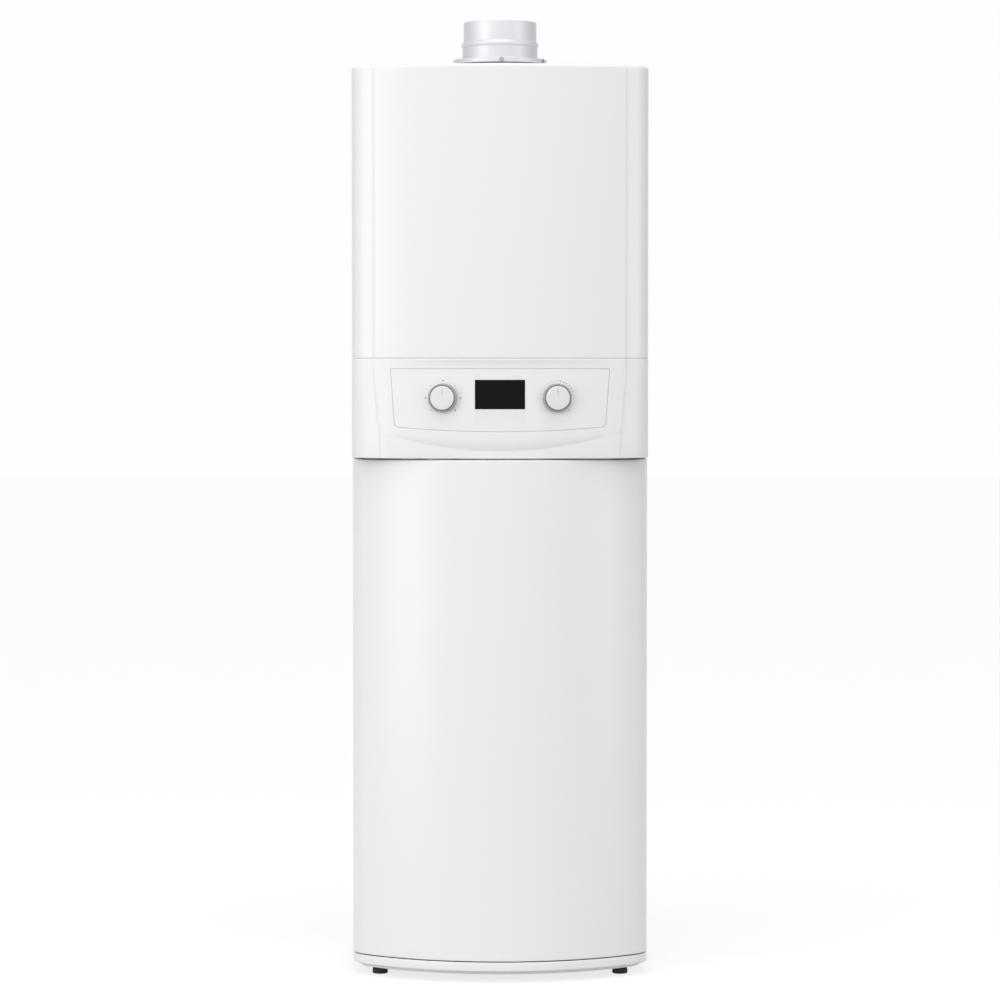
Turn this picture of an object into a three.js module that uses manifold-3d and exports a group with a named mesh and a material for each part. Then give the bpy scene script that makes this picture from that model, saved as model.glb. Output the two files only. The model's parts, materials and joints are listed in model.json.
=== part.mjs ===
// Floor-standing condensing combi boiler: a boiler unit with its control fascia stands on a tank casing.
// Millimetres, +Z up, +X to the right, front towards -Y. The origin is under the middle of the whole box.
import * as THREE from "three";
import { mergeVertices } from "three/addons/utils/BufferGeometryUtils.js";
import Module from "manifold-3d";

const wasm = await Module();
wasm.setup();

// ---------------------------------------------------------------------------------------------
// Driving dimensions
// ---------------------------------------------------------------------------------------------

// Casing
const CASING_WIDTH = 500;
const CASING_DEPTH = 477; // middle of the front to the back sheets
const REAR_REACH = 34; // pipe ends past the back sheets
const SHEET = 1.5; // steel sheet of the casing
const FLANGE = 18; // folded edges of the covers
const SEAT = 0.3; // gap between pieces that rest on each other
const SIDE_SEAM = 1.5; // gap between a front cover's flank and the side panel behind it

// Lower front, in plan
const LOWER_FRONT_RADIUS = 354;
const LOWER_CORNER_RADIUS = 62;
const LOWER_FLANK = 190; // depth of the lower front panel's flanks

// Upper front, in plan
const FACE_RADIUS = 572; // bowed middle between the two columns
const COLUMN_HALF_WIDTH = 28; // rolled column beside it: half axis across
const COLUMN_HALF_DEPTH = 56; // half axis front to back
const COLUMN_SPREAD = 11; // the columns are this much wider at the foot of the fascia
const CREASE_INSET = 38.6; // where the bowed middle meets a column, from the side
const UPPER_FLANK = 150; // depth of the upper cover's and the fascia's flanks

// Heights, from the floor up
const FOOT_HEIGHT = 14;
const LIP_HEIGHT = 6;
const LIP_INSET = 12.5;
const PLINTH_HEIGHT = 15.5;
const BASE_SEAM = 1.5;
const LOWER_HEIGHT = 838.6;
const SHELF_THICKNESS = 2;
const FASCIA_HEIGHT = 166.2;
const COVER_SEAM = 1.2;
const COVER_HEIGHT = 489.4;
const COVER_TOP_ROUND = 5;
const TRAY_FLOOR = 3;

// Feet
const FOOT_INSET = 46; // from the side
const FOOT_SETBACK = 118; // front feet behind the middle of the front
const REAR_FOOT_SETBACK = 45; // rear feet in front of the back
const FOOT_RADIUS = 13;
const STUD_RADIUS = 5;
const STUD_LENGTH = 34; // above the tray's underside
const BUSH_RADIUS = 11;
const BUSH_HEIGHT = 14;

// Control fascia and its panel
const FASCIA_WALL = 4;
const FASCIA_FLOOR = 3;
const APRON_SET = 4.5; // the apron under the visor lies this far back in the middle
const APRON_REACH = 190; // half width over which the apron fades out
const PANEL_SET = 2.5; // the panel lies this far back in the middle
const PANEL_RADIUS = 620;
const PANEL_TOP_HALF = 183;
const PANEL_BOTTOM_HALF = 176;
const PANEL_TOP_DROP = 16.5; // panel's top edge below the fascia's top
const PANEL_HEIGHT = 96.5; // at its corners
const PANEL_SAG = 7.5; // its bottom edge hangs this much lower in the middle
const PANEL_TOP_CORNER = 4;
const PANEL_BOTTOM_CORNER = 8;
const PANEL_THICKNESS = 2;
const PANEL_GAP = 0.8; // shadow gap round the panel
const PANEL_LEDGE = 6; // ledge that the panel is fixed on
const SMILE_LOW = 12.3; // lowest point of the visor's curved lower edge above the fascia's foot
const SMILE_RISE = 24.3; // how much higher it is at the panel's corners

// Controls
const KNOB_OFFSET = 95; // from the middle, across
const KNOB_DROP = 65; // below the fascia's top
const KNOB_CAP_RADIUS = 20.4;
const KNOB_PROUD = 15; // cap's face above the panel
const KNOB_WALL = 2;
const KNOB_EDGE = 1.5;
const KNOB_RUN = 0.6; // running gap round the cap
const BEZEL_WIDTH = 3;
const BEZEL_PROUD = 7;
const ENCODER_RADIUS = 12;
const ENCODER_DEPTH = 14;
const SHAFT_RADIUS = 3;
const POINTER_WIDTH = 1.4;
const POINTER_DEPTH = 0.6;
const WINDOW_WIDTH = 83.2;
const WINDOW_HEIGHT = 48.6;
const WINDOW_DROP = 59.3; // its middle below the fascia's top
const WINDOW_THICKNESS = 2;
const BOARD_SETBACK = 44; // control board behind the middle of the front
const BOARD_WIDTH = 330;
const BOARD_HEIGHT = 84;
const BOARD_THICKNESS = 1.6;
const BOX_WIDTH = 360;
const BOX_HEIGHT = 128;
const BOX_DEPTH = 92;
const BOX_WALL = 2.5;

// Flue adapter, 80/125
const FLUE_SETBACK = 250; // flue's centre behind the middle of the front
const COLLAR_HEIGHT = 15.4;
const COLLAR_RADIUS = 76;
const FLUE_FLANGE_RADIUS = 80.5;
const FLUE_FLANGE_THICKNESS = 8;
const FLUE_SCREW_RADIUS = 4.2;
const FLUE_SCREW_ANGLES = [-88, -25, 152]; // degrees from the right, seen from above
const FLUE_SOCKET_RADIUS = 62.8; // takes a 125 pipe
const FLUE_WALL = 1.2;
const FLUE_FOOT_RADIUS = 67;
const FLUE_BEAD_RADIUS = 69;
const FLUE_BEAD_HEIGHT = 14;
const FLUE_BEAD_RISE = 19; // bead's lower edge above the flange
const FLUE_RISE = 64; // rim above the flange
const INNER_FLUE_RADIUS = 40;
const INNER_FLUE_WALL = 1.2;
const INNER_FLUE_DROP = 3; // its rim below the outer rim

// Heat exchanger and burner door
const EXCHANGER_X = -34;
const EXCHANGER_DROP = 200; // its axis below the casing's top
const EXCHANGER_RADIUS = 92;
const EXCHANGER_SETBACK = 175;
const EXCHANGER_LENGTH = 190;
const EXCHANGER_RIBS = 4;
const RIB_DEPTH = 4;
const DOOR_RADIUS = 80;
const DOOR_THICKNESS = 8;
const DOOR_BOLTS = 6;
const BURNER_RADIUS = 34;
const BURNER_LENGTH = 120;
const DUCT_RADIUS = 22;
const DUCT_REACH = 47; // duct's centre line in front of the door

// Fan
const FAN_X = 150;
const FAN_DROP = 138; // its axis below the casing's top
const FAN_WIDTH = 50;
const VOLUTE_START = 58;
const VOLUTE_GROWTH = 22;
const VOLUTE_WALL = 2.5;
const IMPELLER_RADIUS = 46;
const IMPELLER_BLADES = 20;
const BLADE_THICKNESS = 1.2;
const BLADE_DEPTH = 14;
const FAN_INLET_RADIUS = 30;
const FAN_MOTOR_RADIUS = 34;
const FAN_MOTOR_LENGTH = 42;
const VENTURI_LENGTH = 26;

// Water and gas side
const PIPE_RADIUS = 9; // 18 pipe
const GAS_PIPE_RADIUS = 7.5; // 15 pipe
const STUB_HEIGHT = 42; // pipe ends above the shelf
const STUB_SPACING = 78;
const UNION_RADIUS = 15;
const UNION_LENGTH = 22;
const PUMP_RISE = 172; // above the shelf
const PUMP_RADIUS = 42;
const PUMP_DEPTH = 40;
const PORT_REACH = 62;
const PORT_RADIUS = 16;
const MOTOR_RADIUS = 44;
const MOTOR_LENGTH = 82;
const VESSEL_RADIUS = 158;
const VESSEL_DEPTH = 78;
const VESSEL_DROP = 196;

// Storage tank
const TANK_RADIUS = 160;
const TANK_BOSS_REACH = 112; // water bosses behind the tank's axis
const TANK_HEIGHT = 690;
const TANK_WALL = 2.5;
const TANK_DOME = 46;
const TANK_SKIRT = 24;
const TANK_SETBACK = 270;
const INSULATION_THICKNESS = 30;
const TANK_NECK_RADIUS = 62;
const TANK_NECK_HEIGHT = 18;
const TANK_FLANGE_RADIUS = 84;
const TANK_FLANGE_THICKNESS = 9;
const COIL_RADIUS = 108;
const COIL_TUBE_RADIUS = 9;
const COIL_PORT_X = 40;
const COIL_BEND = 26;
const COIL_LEG = 40;
const COIL_TURNS = 4;
const COIL_PITCH = 46;
const ANODE_RADIUS = 11;

// Smoothness
const ARC_SEGMENTS = 4;
const ROUND = 24;
const PIPE_SIDES = 8;
const WELD = 1e-4;

// ---------------------------------------------------------------------------------------------
// Places that follow from them
// ---------------------------------------------------------------------------------------------

const HALF_WIDTH = CASING_WIDTH / 2;
const CREASE_X = HALF_WIDTH - CREASE_INSET;
const FOOT_X = HALF_WIDTH - FOOT_INSET;
const KNOB_TILT = Math.asin(KNOB_OFFSET / PANEL_RADIUS);
const KNOB_SAG = PANEL_SET + PANEL_RADIUS * (1 - Math.cos(KNOB_TILT));
const KNOB_FRONT =
  KNOB_PROUD * Math.cos(KNOB_TILT) + (KNOB_CAP_RADIUS - KNOB_EDGE) * Math.sin(KNOB_TILT) - KNOB_SAG;
const FRONT_Y = (KNOB_FRONT - CASING_DEPTH - REAR_REACH) / 2;
const BACK_Y = FRONT_Y + CASING_DEPTH;
const REAR_Y = BACK_Y + REAR_REACH;
const INSIDE_BACK_Y = BACK_Y - SHEET - SEAT;
const INSIDE_X = HALF_WIDTH - SHEET - SEAT;

const LIP_Z = FOOT_HEIGHT;
const PLINTH_Z = LIP_Z + LIP_HEIGHT;
const PLINTH_TOP = PLINTH_Z + PLINTH_HEIGHT;
const LOWER_Z = PLINTH_TOP + BASE_SEAM;
const LOWER_TOP = LOWER_Z + LOWER_HEIGHT;
const SHELF_Z = LOWER_TOP + SEAT;
const SHELF_TOP = SHELF_Z + SHELF_THICKNESS;
const FASCIA_Z = SHELF_TOP + SEAT;
const FASCIA_TOP = FASCIA_Z + FASCIA_HEIGHT;
const COVER_Z = FASCIA_TOP + COVER_SEAM;
const TOP_Z = COVER_Z + COVER_HEIGHT;

const COLUMN_X = HALF_WIDTH - COLUMN_HALF_WIDTH;
const COLUMN_LEAN = Math.asin((COLUMN_X - CREASE_X) / COLUMN_HALF_WIDTH);
const COLUMN_Y = faceY(CREASE_X) + COLUMN_HALF_DEPTH * Math.cos(COLUMN_LEAN);

const FLUE_Y = FRONT_Y + FLUE_SETBACK;
const FLUE_FLANGE_Z = TOP_Z + SEAT + COLLAR_HEIGHT + SEAT;
const FLUE_FLANGE_TOP = FLUE_FLANGE_Z + FLUE_FLANGE_THICKNESS;
const FLUE_RIM_Z = FLUE_FLANGE_TOP + FLUE_RISE;

// ---------------------------------------------------------------------------------------------
// Shape helpers
// ---------------------------------------------------------------------------------------------

/** A closed geometry as a solid that can be joined and cut. */
function solidOf(geometry) {
  const bare = geometry.index ? geometry.toNonIndexed() : geometry.clone();
  bare.deleteAttribute("normal");
  bare.deleteAttribute("uv");
  const welded = mergeVertices(bare, WELD);
  const index = welded.index.array;
  const triangles = [];
  for (let i = 0; i < index.length; i += 3) {
    const [a, b, c] = [index[i], index[i + 1], index[i + 2]];
    if (a !== b && b !== c && c !== a) triangles.push(a, b, c);
  }
  const build = (list) =>
    new wasm.Manifold(
      new wasm.Mesh({
        numProp: 3,
        vertProperties: welded.attributes.position.array,
        triVerts: new Uint32Array(list),
      }),
    );
  const solid = build(triangles);
  if (solid.volume() > 0) return solid;
  return build(triangles.reverse());
}

/** A solid as a geometry with flat-shaded faces. */
function geometryOf(solid) {
  const mesh = solid.getMesh();
  const geometry = new THREE.BufferGeometry();
  geometry.setAttribute("position", new THREE.BufferAttribute(mesh.vertProperties, mesh.numProp));
  geometry.setIndex(new THREE.BufferAttribute(mesh.triVerts, 1));
  const faceted = geometry.toNonIndexed();
  faceted.computeVertexNormals();
  return faceted;
}

const join = (first, ...others) => others.reduce((whole, piece) => whole.add(piece), first);
const cut = (first, ...others) => others.reduce((whole, piece) => whole.subtract(piece), first);
const vec = (x, y, z) => new THREE.Vector3(x, y, z);

/** An upright or level block between two limits on each axis. */
function block(x0, x1, y0, y1, z0, z1) {
  const box = new THREE.BoxGeometry(x1 - x0, y1 - y0, z1 - z0);
  return solidOf(box.translate((x0 + x1) / 2, (y0 + y1) / 2, (z0 + z1) / 2));
}

/** A straight round bar between two points; endRadius makes it a cone. */
function bar(radius, from, to, sides = ROUND, endRadius = radius) {
  const along = to.clone().sub(from);
  const cylinder = new THREE.CylinderGeometry(endRadius, radius, along.length(), sides);
  const turn = new THREE.Quaternion().setFromUnitVectors(vec(0, 1, 0), along.clone().normalize());
  cylinder.applyQuaternion(turn);
  const middle = from.clone().add(to).multiplyScalar(0.5);
  return solidOf(cylinder.translate(middle.x, middle.y, middle.z));
}

/** A plan outline raised from z0 to z1. */
function raise(shape, z0, z1, segments = ARC_SEGMENTS) {
  const prism = new THREE.ExtrudeGeometry(shape, {
    depth: z1 - z0,
    bevelEnabled: false,
    curveSegments: segments,
  });
  return solidOf(prism.translate(0, 0, z0));
}

/** A front-view outline (x across, z up) drawn back from y0 to y1. */
function drawBack(shape, y0, y1, segments = ARC_SEGMENTS) {
  const prism = new THREE.ExtrudeGeometry(shape, {
    depth: y1 - y0,
    bevelEnabled: false,
    curveSegments: segments,
  });
  return solidOf(prism.rotateX(Math.PI / 2).translate(0, y1, 0));
}

/** A profile of [radius, height] points turned about an axis through centre. */
function turned(profile, centre, axis = "z", sides = ROUND) {
  const points = profile.map(([r, h]) => new THREE.Vector2(r, h));
  const lathe = new THREE.LatheGeometry(points, sides);
  if (axis === "z") lathe.rotateX(Math.PI / 2);
  return solidOf(lathe.translate(centre.x, centre.y, centre.z));
}

/** A closed polygon from [x, y] pairs. */
function polygon(points) {
  return new THREE.Shape(points.map(([x, y]) => new THREE.Vector2(x, y)));
}

/** A rounded rectangle about (x, y). */
function roundedRectangle(x, y, width, height, radius) {
  const [w, h] = [width / 2 - radius, height / 2 - radius];
  const shape = new THREE.Shape();
  shape.absarc(x + w, y - h, radius, -Math.PI / 2, 0);
  shape.absarc(x + w, y + h, radius, 0, Math.PI / 2);
  shape.absarc(x - w, y + h, radius, Math.PI / 2, Math.PI);
  shape.absarc(x - w, y - h, radius, Math.PI, 1.5 * Math.PI);
  return shape;
}

/** A solid through rings of equal counts of points, each ring level with the last or above it. */
function loft(rings) {
  const count = rings[0].length;
  const positions = rings.flat().flatMap((p) => [p.x, p.y, p.z]);
  const index = [];
  for (let r = 0; r + 1 < rings.length; r += 1) {
    for (let i = 0; i < count; i += 1) {
      const j = (i + 1) % count;
      const [a, b] = [r * count + i, r * count + j];
      index.push(a, b, b + count, a, b + count, a + count);
    }
  }
  const flatten = (ring) => ring.map((p) => new THREE.Vector2(p.x, p.y));
  const last = (rings.length - 1) * count;
  for (const [a, b, c] of THREE.ShapeUtils.triangulateShape(flatten(rings[0]), [])) index.push(a, c, b);
  for (const [a, b, c] of THREE.ShapeUtils.triangulateShape(flatten(rings.at(-1)), []))
    index.push(last + a, last + b, last + c);
  const geometry = new THREE.BufferGeometry();
  geometry.setAttribute("position", new THREE.Float32BufferAttribute(positions, 3));
  geometry.setIndex(index);
  return solidOf(geometry);
}

/** A bent pipe's centre line: straight runs joined by round bends, with points only where it turns. */
class PipeRun extends THREE.Curve {
  constructor(corners, bendRadius, stepsPerBend = 5) {
    super();
    this.stations = [];
    this.tangents = [];
    const directions = corners.slice(1).map((corner, i) => corner.clone().sub(corners[i]).normalize());
    this.addStation(corners[0], directions[0]);
    for (let i = 1; i + 1 < corners.length; i += 1) {
      const [inward, outward] = [directions[i - 1], directions[i]];
      const angle = inward.angleTo(outward);
      const across = outward.clone().addScaledVector(inward, -Math.cos(angle)).normalize();
      const start = corners[i].clone().addScaledVector(inward, -bendRadius * Math.tan(angle / 2));
      for (let k = 0; k <= stepsPerBend; k += 1) {
        const turn = (angle * k) / stepsPerBend;
        const point = start
          .clone()
          .addScaledVector(inward, bendRadius * Math.sin(turn))
          .addScaledVector(across, bendRadius * (1 - Math.cos(turn)));
        const tangent = inward.clone().multiplyScalar(Math.cos(turn));
        this.addStation(point, tangent.addScaledVector(across, Math.sin(turn)));
      }
    }
    this.addStation(corners.at(-1), directions.at(-1));
  }

  addStation(point, tangent) {
    this.stations.push(point.clone());
    this.tangents.push(tangent.clone());
  }

  nearest(t) {
    return Math.round(t * (this.stations.length - 1));
  }

  getPoint(t, target = new THREE.Vector3()) {
    return target.copy(this.stations[this.nearest(t)]);
  }

  getSpacedPoints() {
    return this.stations;
  }

  getTangentAt(u, target = new THREE.Vector3()) {
    return target.copy(this.tangents[this.nearest(u)]);
  }
}

/** A round pipe along corners, bent where it turns. */
function pipe(corners, radius, bendRadius, sides = PIPE_SIDES) {
  const run = new PipeRun(corners, bendRadius);
  const section = new THREE.Shape();
  section.absarc(0, 0, radius, 0, 2 * Math.PI);
  const tube = new THREE.ExtrudeGeometry(section, {
    steps: run.stations.length - 1,
    extrudePath: run,
    curveSegments: sides / 2,
    bevelEnabled: false,
  });
  return solidOf(tube);
}

/** A pipe end past the back sheets: a six-sided union with an open mouth. */
function rearUnion(x, z, pipeRadius) {
  const union = bar(UNION_RADIUS, vec(x, REAR_Y - UNION_LENGTH, z), vec(x, REAR_Y, z), 6);
  const mouth = bar(pipeRadius, vec(x, REAR_Y - UNION_LENGTH + 4, z), vec(x, REAR_Y + 1, z), 16);
  return { union, mouth };
}

// ---------------------------------------------------------------------------------------------
// Plans of the casing
// ---------------------------------------------------------------------------------------------

/** Where the upper front's bowed middle lies at x, in plan. */
function faceY(x, inset = 0) {
  return FRONT_Y + FACE_RADIUS - Math.sqrt((FACE_RADIUS - inset) ** 2 - x * x);
}

/** Where the control panel's own, flatter bow lies at x. */
function panelY(x, inset = 0) {
  return FRONT_Y + PANEL_SET + PANEL_RADIUS - Math.sqrt((PANEL_RADIUS - inset) ** 2 - x * x);
}

/** The lower casing in plan: bowed front, round corners, straight flanks to backY. */
function lowerPlan(inset, backY) {
  const arcY = FRONT_Y + LOWER_FRONT_RADIUS;
  const cornerX = HALF_WIDTH - LOWER_CORNER_RADIUS;
  const reach = LOWER_FRONT_RADIUS - LOWER_CORNER_RADIUS;
  const lean = Math.asin(cornerX / reach);
  const cornerY = arcY - reach * Math.cos(lean);
  const [radius, corner] = [LOWER_FRONT_RADIUS - inset, LOWER_CORNER_RADIUS - inset];
  const front = -Math.PI / 2;
  const shape = new THREE.Shape();
  shape.moveTo(HALF_WIDTH - inset, backY);
  shape.lineTo(-HALF_WIDTH + inset, backY);
  shape.absarc(-cornerX, cornerY, corner, -Math.PI, front - lean);
  shape.absarc(0, arcY, radius, front - lean, front);
  shape.absarc(0, arcY, radius, front, front + lean);
  shape.absarc(cornerX, cornerY, corner, front + lean, 0);
  return shape;
}

/** Angle on a column's ellipse, from its front, where the bowed middle meets it. */
function creaseLean(halfWidth, inset) {
  const centreX = HALF_WIDTH - halfWidth;
  const depthPast = (lean) => {
    const x = centreX - (halfWidth - inset) * Math.sin(lean);
    const y = COLUMN_Y - (COLUMN_HALF_DEPTH - inset) * Math.cos(lean);
    return y - faceY(x, inset);
  };
  let [low, high] = [0, Math.PI / 2];
  for (let i = 0; i < 40; i += 1) {
    const middle = (low + high) / 2;
    if (depthPast(middle) < 0) low = middle;
    else high = middle;
  }
  return low;
}

const COLUMN_STEPS = 6;
const FACE_STEPS = 16;

/**
 * The upper casing in plan, as points from the back left round the front to the back right.
 * Each point says whether it is on the bowed middle. columnSpread widens the columns.
 */
function upperOutline(inset, backY, columnSpread = 0) {
  const halfWidth = COLUMN_HALF_WIDTH + columnSpread;
  const lean = creaseLean(halfWidth, inset);
  const centreX = HALF_WIDTH - halfWidth;
  const columnPoint = (angle) => ({
    x: centreX + (halfWidth - inset) * Math.sin(angle),
    y: COLUMN_Y - (COLUMN_HALF_DEPTH - inset) * Math.cos(angle),
  });
  const creaseX = columnPoint(-lean).x;
  const right = [];
  for (let i = 0; i <= COLUMN_STEPS; i += 1) {
    right.push(columnPoint(-lean + ((Math.PI / 2 + lean) * i) / COLUMN_STEPS));
  }
  right.push({ x: HALF_WIDTH - inset, y: backY });
  const left = right.map(({ x, y }) => ({ x: -x, y })).reverse();
  const middle = [];
  for (let i = 1; i < FACE_STEPS; i += 1) {
    const x = creaseX * ((2 * i) / FACE_STEPS - 1);
    middle.push({ x, y: faceY(x, inset), bowed: true });
  }
  return [...left, ...middle, ...right];
}

/** The upper plan as a shape. */
function upperPlan(inset, backY) {
  return polygon(upperOutline(inset, backY).map(({ x, y }) => [x, y]));
}

/** The opening inside the upper casing's folded edges: bowed in front, straight at the sides. */
function upperOpening(inset, backY) {
  const side = HALF_WIDTH - inset;
  const front = [];
  for (let i = 0; i <= FACE_STEPS; i += 1) {
    const x = side * ((2 * i) / FACE_STEPS - 1);
    front.push([x, faceY(x, inset)]);
  }
  return polygon([[-side, backY], ...front, [side, backY]]);
}

/** One level of the upper plan as a ring of points. */
function upperRing(inset, backY, z) {
  return upperOutline(inset, backY).map(({ x, y }) => vec(x, y, z));
}

/** Opens a closed U-shaped cover: hollow, open behind, below and above, with folded edges. */
function openCover(outer, plan, openingPlan, backY, z0, z1, topFlange) {
  const hollow = raise(plan(SHEET, backY - SHEET), z0 + SHEET, z1 - SHEET);
  const below = raise(openingPlan(FLANGE, backY - FLANGE), z0 - 1, z0 + 2 * SHEET);
  const above = raise(openingPlan(topFlange, backY - FLANGE), z1 - 2 * SHEET, z1 + 1);
  const opening = HALF_WIDTH - FLANGE;
  const behind = block(-opening, opening, backY - FLANGE - 1, backY + 1, z0 - 1, z1 + 1);
  return cut(outer, hollow, below, above, behind);
}

// ---------------------------------------------------------------------------------------------
// The object's pieces
// ---------------------------------------------------------------------------------------------

const boiler = new THREE.Group();

const FINISHES = {
  whiteEnamel: { color: 0xf1f0ee, roughness: 0.38, metalness: 0 },
  whitePlastic: { color: 0xefeeec, roughness: 0.42, metalness: 0 },
  zincSheet: { color: 0xb9bcbf, roughness: 0.42, metalness: 0.9 },
  flueGrey: { color: 0xb4b5b5, roughness: 0.4, metalness: 0.75 },
  aluminium: { color: 0xb8babc, roughness: 0.5, metalness: 0.95 },
  stainless: { color: 0xc9cac8, roughness: 0.28, metalness: 1 },
  copper: { color: 0xb9714f, roughness: 0.32, metalness: 1 },
  brass: { color: 0xb99a58, roughness: 0.34, metalness: 1 },
  blackRubber: { color: 0x1b1b1c, roughness: 0.8, metalness: 0 },
  blackPlastic: { color: 0x232426, roughness: 0.5, metalness: 0 },
  greyPlastic: { color: 0x9c9ea0, roughness: 0.45, metalness: 0 },
  darkGlass: { color: 0x0b0c0e, roughness: 0.08, metalness: 0 },
  redEnamel: { color: 0xa8261f, roughness: 0.4, metalness: 0 },
  foam: { color: 0xe2e0da, roughness: 0.9, metalness: 0 },
  blueEnamel: { color: 0x2f4f78, roughness: 0.4, metalness: 0 },
  greenBoard: { color: 0x1f5b3c, roughness: 0.5, metalness: 0 },
};

/** Adds one named piece to a group. */
function piece(name, solid, finish, group = boiler) {
  const mesh = new THREE.Mesh(geometryOf(solid), new THREE.MeshStandardMaterial(FINISHES[finish]));
  mesh.name = name;
  group.add(mesh);
  return mesh;
}

const SIDES = { left: -1, right: 1 };

// --- Feet and plinth -------------------------------------------------------------------------

const FEET = {
  front_left: [-FOOT_X, FRONT_Y + FOOT_SETBACK],
  front_right: [FOOT_X, FRONT_Y + FOOT_SETBACK],
  rear_left: [-FOOT_X, BACK_Y - REAR_FOOT_SETBACK],
  rear_right: [FOOT_X, BACK_Y - REAR_FOOT_SETBACK],
};

const LOWER_COVER_BACK = FRONT_Y + LOWER_FLANK;
const REST_SETBACK = 70;
const REST_LENGTH = 40;

/** A levelling foot: a rubber-shod pad under a stud that screws into the tray's bush. */
function levellingFoot() {
  const top = FOOT_HEIGHT - SEAT;
  return turned(
    [
      [0, 0],
      [FOOT_RADIUS - 1, 0],
      [FOOT_RADIUS, 1],
      [FOOT_RADIUS, top - 5],
      [FOOT_RADIUS - 3, top - 3],
      [FOOT_RADIUS - 3, top],
      [STUD_RADIUS, top],
      [STUD_RADIUS, FOOT_HEIGHT + STUD_LENGTH - 1],
      [STUD_RADIUS - 1, FOOT_HEIGHT + STUD_LENGTH],
      [0, FOOT_HEIGHT + STUD_LENGTH],
    ],
    vec(0, 0, 0),
    "z",
    14,
  );
}

/** The plinth: a tray with a set-back lip, foot bushes and two rests for the front panel. */
function baseTray() {
  const lip = raise(lowerPlan(LIP_INSET, BACK_Y - LIP_INSET), LIP_Z, PLINTH_Z + 1);
  const band = raise(lowerPlan(0, BACK_Y), PLINTH_Z, PLINTH_TOP);
  const wall = 2 * SHEET;
  const well = raise(
    lowerPlan(LIP_INSET + wall, BACK_Y - LIP_INSET - wall),
    LIP_Z + TRAY_FLOOR,
    PLINTH_Z + wall + 1,
  );
  const rim = raise(lowerPlan(wall, BACK_Y - wall), PLINTH_Z + wall, PLINTH_TOP + 1);
  let tray = cut(join(lip, band), well, rim);
  for (const [x, y] of Object.values(FEET)) {
    tray = join(tray, bar(BUSH_RADIUS, vec(x, y, LIP_Z), vec(x, y, LIP_Z + BUSH_HEIGHT), 14));
  }
  for (const side of Object.values(SIDES)) {
    const [x0, x1] = [side * (HALF_WIDTH - 1), side * (HALF_WIDTH - wall)].sort((a, b) => a - b);
    const y0 = LOWER_COVER_BACK - REST_SETBACK;
    tray = join(tray, block(x0, x1, y0, y0 + REST_LENGTH, PLINTH_TOP - 1, LOWER_Z - SEAT));
  }
  for (const [x, y] of Object.values(FEET)) {
    tray = cut(tray, bar(STUD_RADIUS + SEAT, vec(x, y, LIP_Z - 1), vec(x, y, PLINTH_TOP), 14));
  }
  return tray;
}

piece("base_tray", baseTray(), "whiteEnamel");
for (const [corner, [x, y]] of Object.entries(FEET)) {
  piece(`foot_${corner}`, levellingFoot(), "blackRubber").position.set(x, y, 0);
}

// --- Lower casing ----------------------------------------------------------------------------

const lowerFront = raise(lowerPlan(0, LOWER_COVER_BACK), LOWER_Z, LOWER_TOP);
piece(
  "lower_front_panel",
  openCover(lowerFront, lowerPlan, lowerPlan, LOWER_COVER_BACK, LOWER_Z, LOWER_TOP, FLANGE),
  "whiteEnamel",
);

/** A side sheet with its front, rear and one level edge folded inwards. */
function sidePanel(side, frontY, z0, z1, ledgeBelow) {
  const rear = INSIDE_BACK_Y;
  const [out, skin, fold] = [HALF_WIDTH, HALF_WIDTH - SHEET, HALF_WIDTH - FLANGE].map((x) => side * x);
  const past = fold - side;
  const [foot, head] = ledgeBelow ? [z0 + SHEET, z1 + 1] : [z0 - 1, z1 - SHEET];
  const across = (a, b) => [Math.min(a, b), Math.max(a, b)];
  const full = block(...across(out, fold), frontY, rear, z0, z1);
  return cut(full, block(...across(skin, past), frontY + SHEET, rear - SHEET, foot, head));
}

const LOWER_SIDE_Y = LOWER_COVER_BACK + SIDE_SEAM;
const UPPER_COVER_BACK = FRONT_Y + UPPER_FLANK;
const UPPER_SIDE_Y = UPPER_COVER_BACK + SIDE_SEAM;
const TOP_PLATE_Z = TOP_Z - SHEET;
const SIDE_TOP = TOP_PLATE_Z - SEAT;
for (const [name, side] of Object.entries(SIDES)) {
  const lower = sidePanel(side, LOWER_SIDE_Y, PLINTH_TOP + SEAT, LOWER_TOP, false);
  piece(`lower_side_panel_${name}`, lower, "whiteEnamel");
  const upper = sidePanel(side, UPPER_SIDE_Y, FASCIA_Z, SIDE_TOP, true);
  piece(`upper_side_panel_${name}`, upper, "whiteEnamel");
}

// Pipe ends through the upper back panel, from left to right
const STUB_Z = SHELF_TOP + STUB_HEIGHT;
const STUBS = {
  heating_flow: { x: -2 * STUB_SPACING, radius: PIPE_RADIUS },
  hot_outlet: { x: -STUB_SPACING, radius: PIPE_RADIUS },
  condensate: { x: EXCHANGER_X, radius: PIPE_RADIUS },
  gas_inlet: { x: 0, radius: GAS_PIPE_RADIUS },
  cold_inlet: { x: STUB_SPACING, radius: PIPE_RADIUS },
  heating_return: { x: 2 * STUB_SPACING, radius: PIPE_RADIUS },
};
const PIPE_HOLE_CLEARANCE = 1;

/** The upper back sheet, holed for the pipe ends. */
function upperBack() {
  const holes = Object.values(STUBS).map(({ x, radius }) =>
    bar(radius + PIPE_HOLE_CLEARANCE, vec(x, BACK_Y - 5, STUB_Z), vec(x, BACK_Y + 5, STUB_Z), 16),
  );
  const sheet = block(-HALF_WIDTH, HALF_WIDTH, BACK_Y - SHEET, BACK_Y, FASCIA_Z, SIDE_TOP);
  return cut(sheet, ...holes);
}

const VENT_SLOTS = 5;
const VENT_PITCH = 14;
const VENT_LENGTH = 120;
const VENT_HEIGHT = 5;
const VENT_RISE = 60; // lowest slot above the panel's foot

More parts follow.
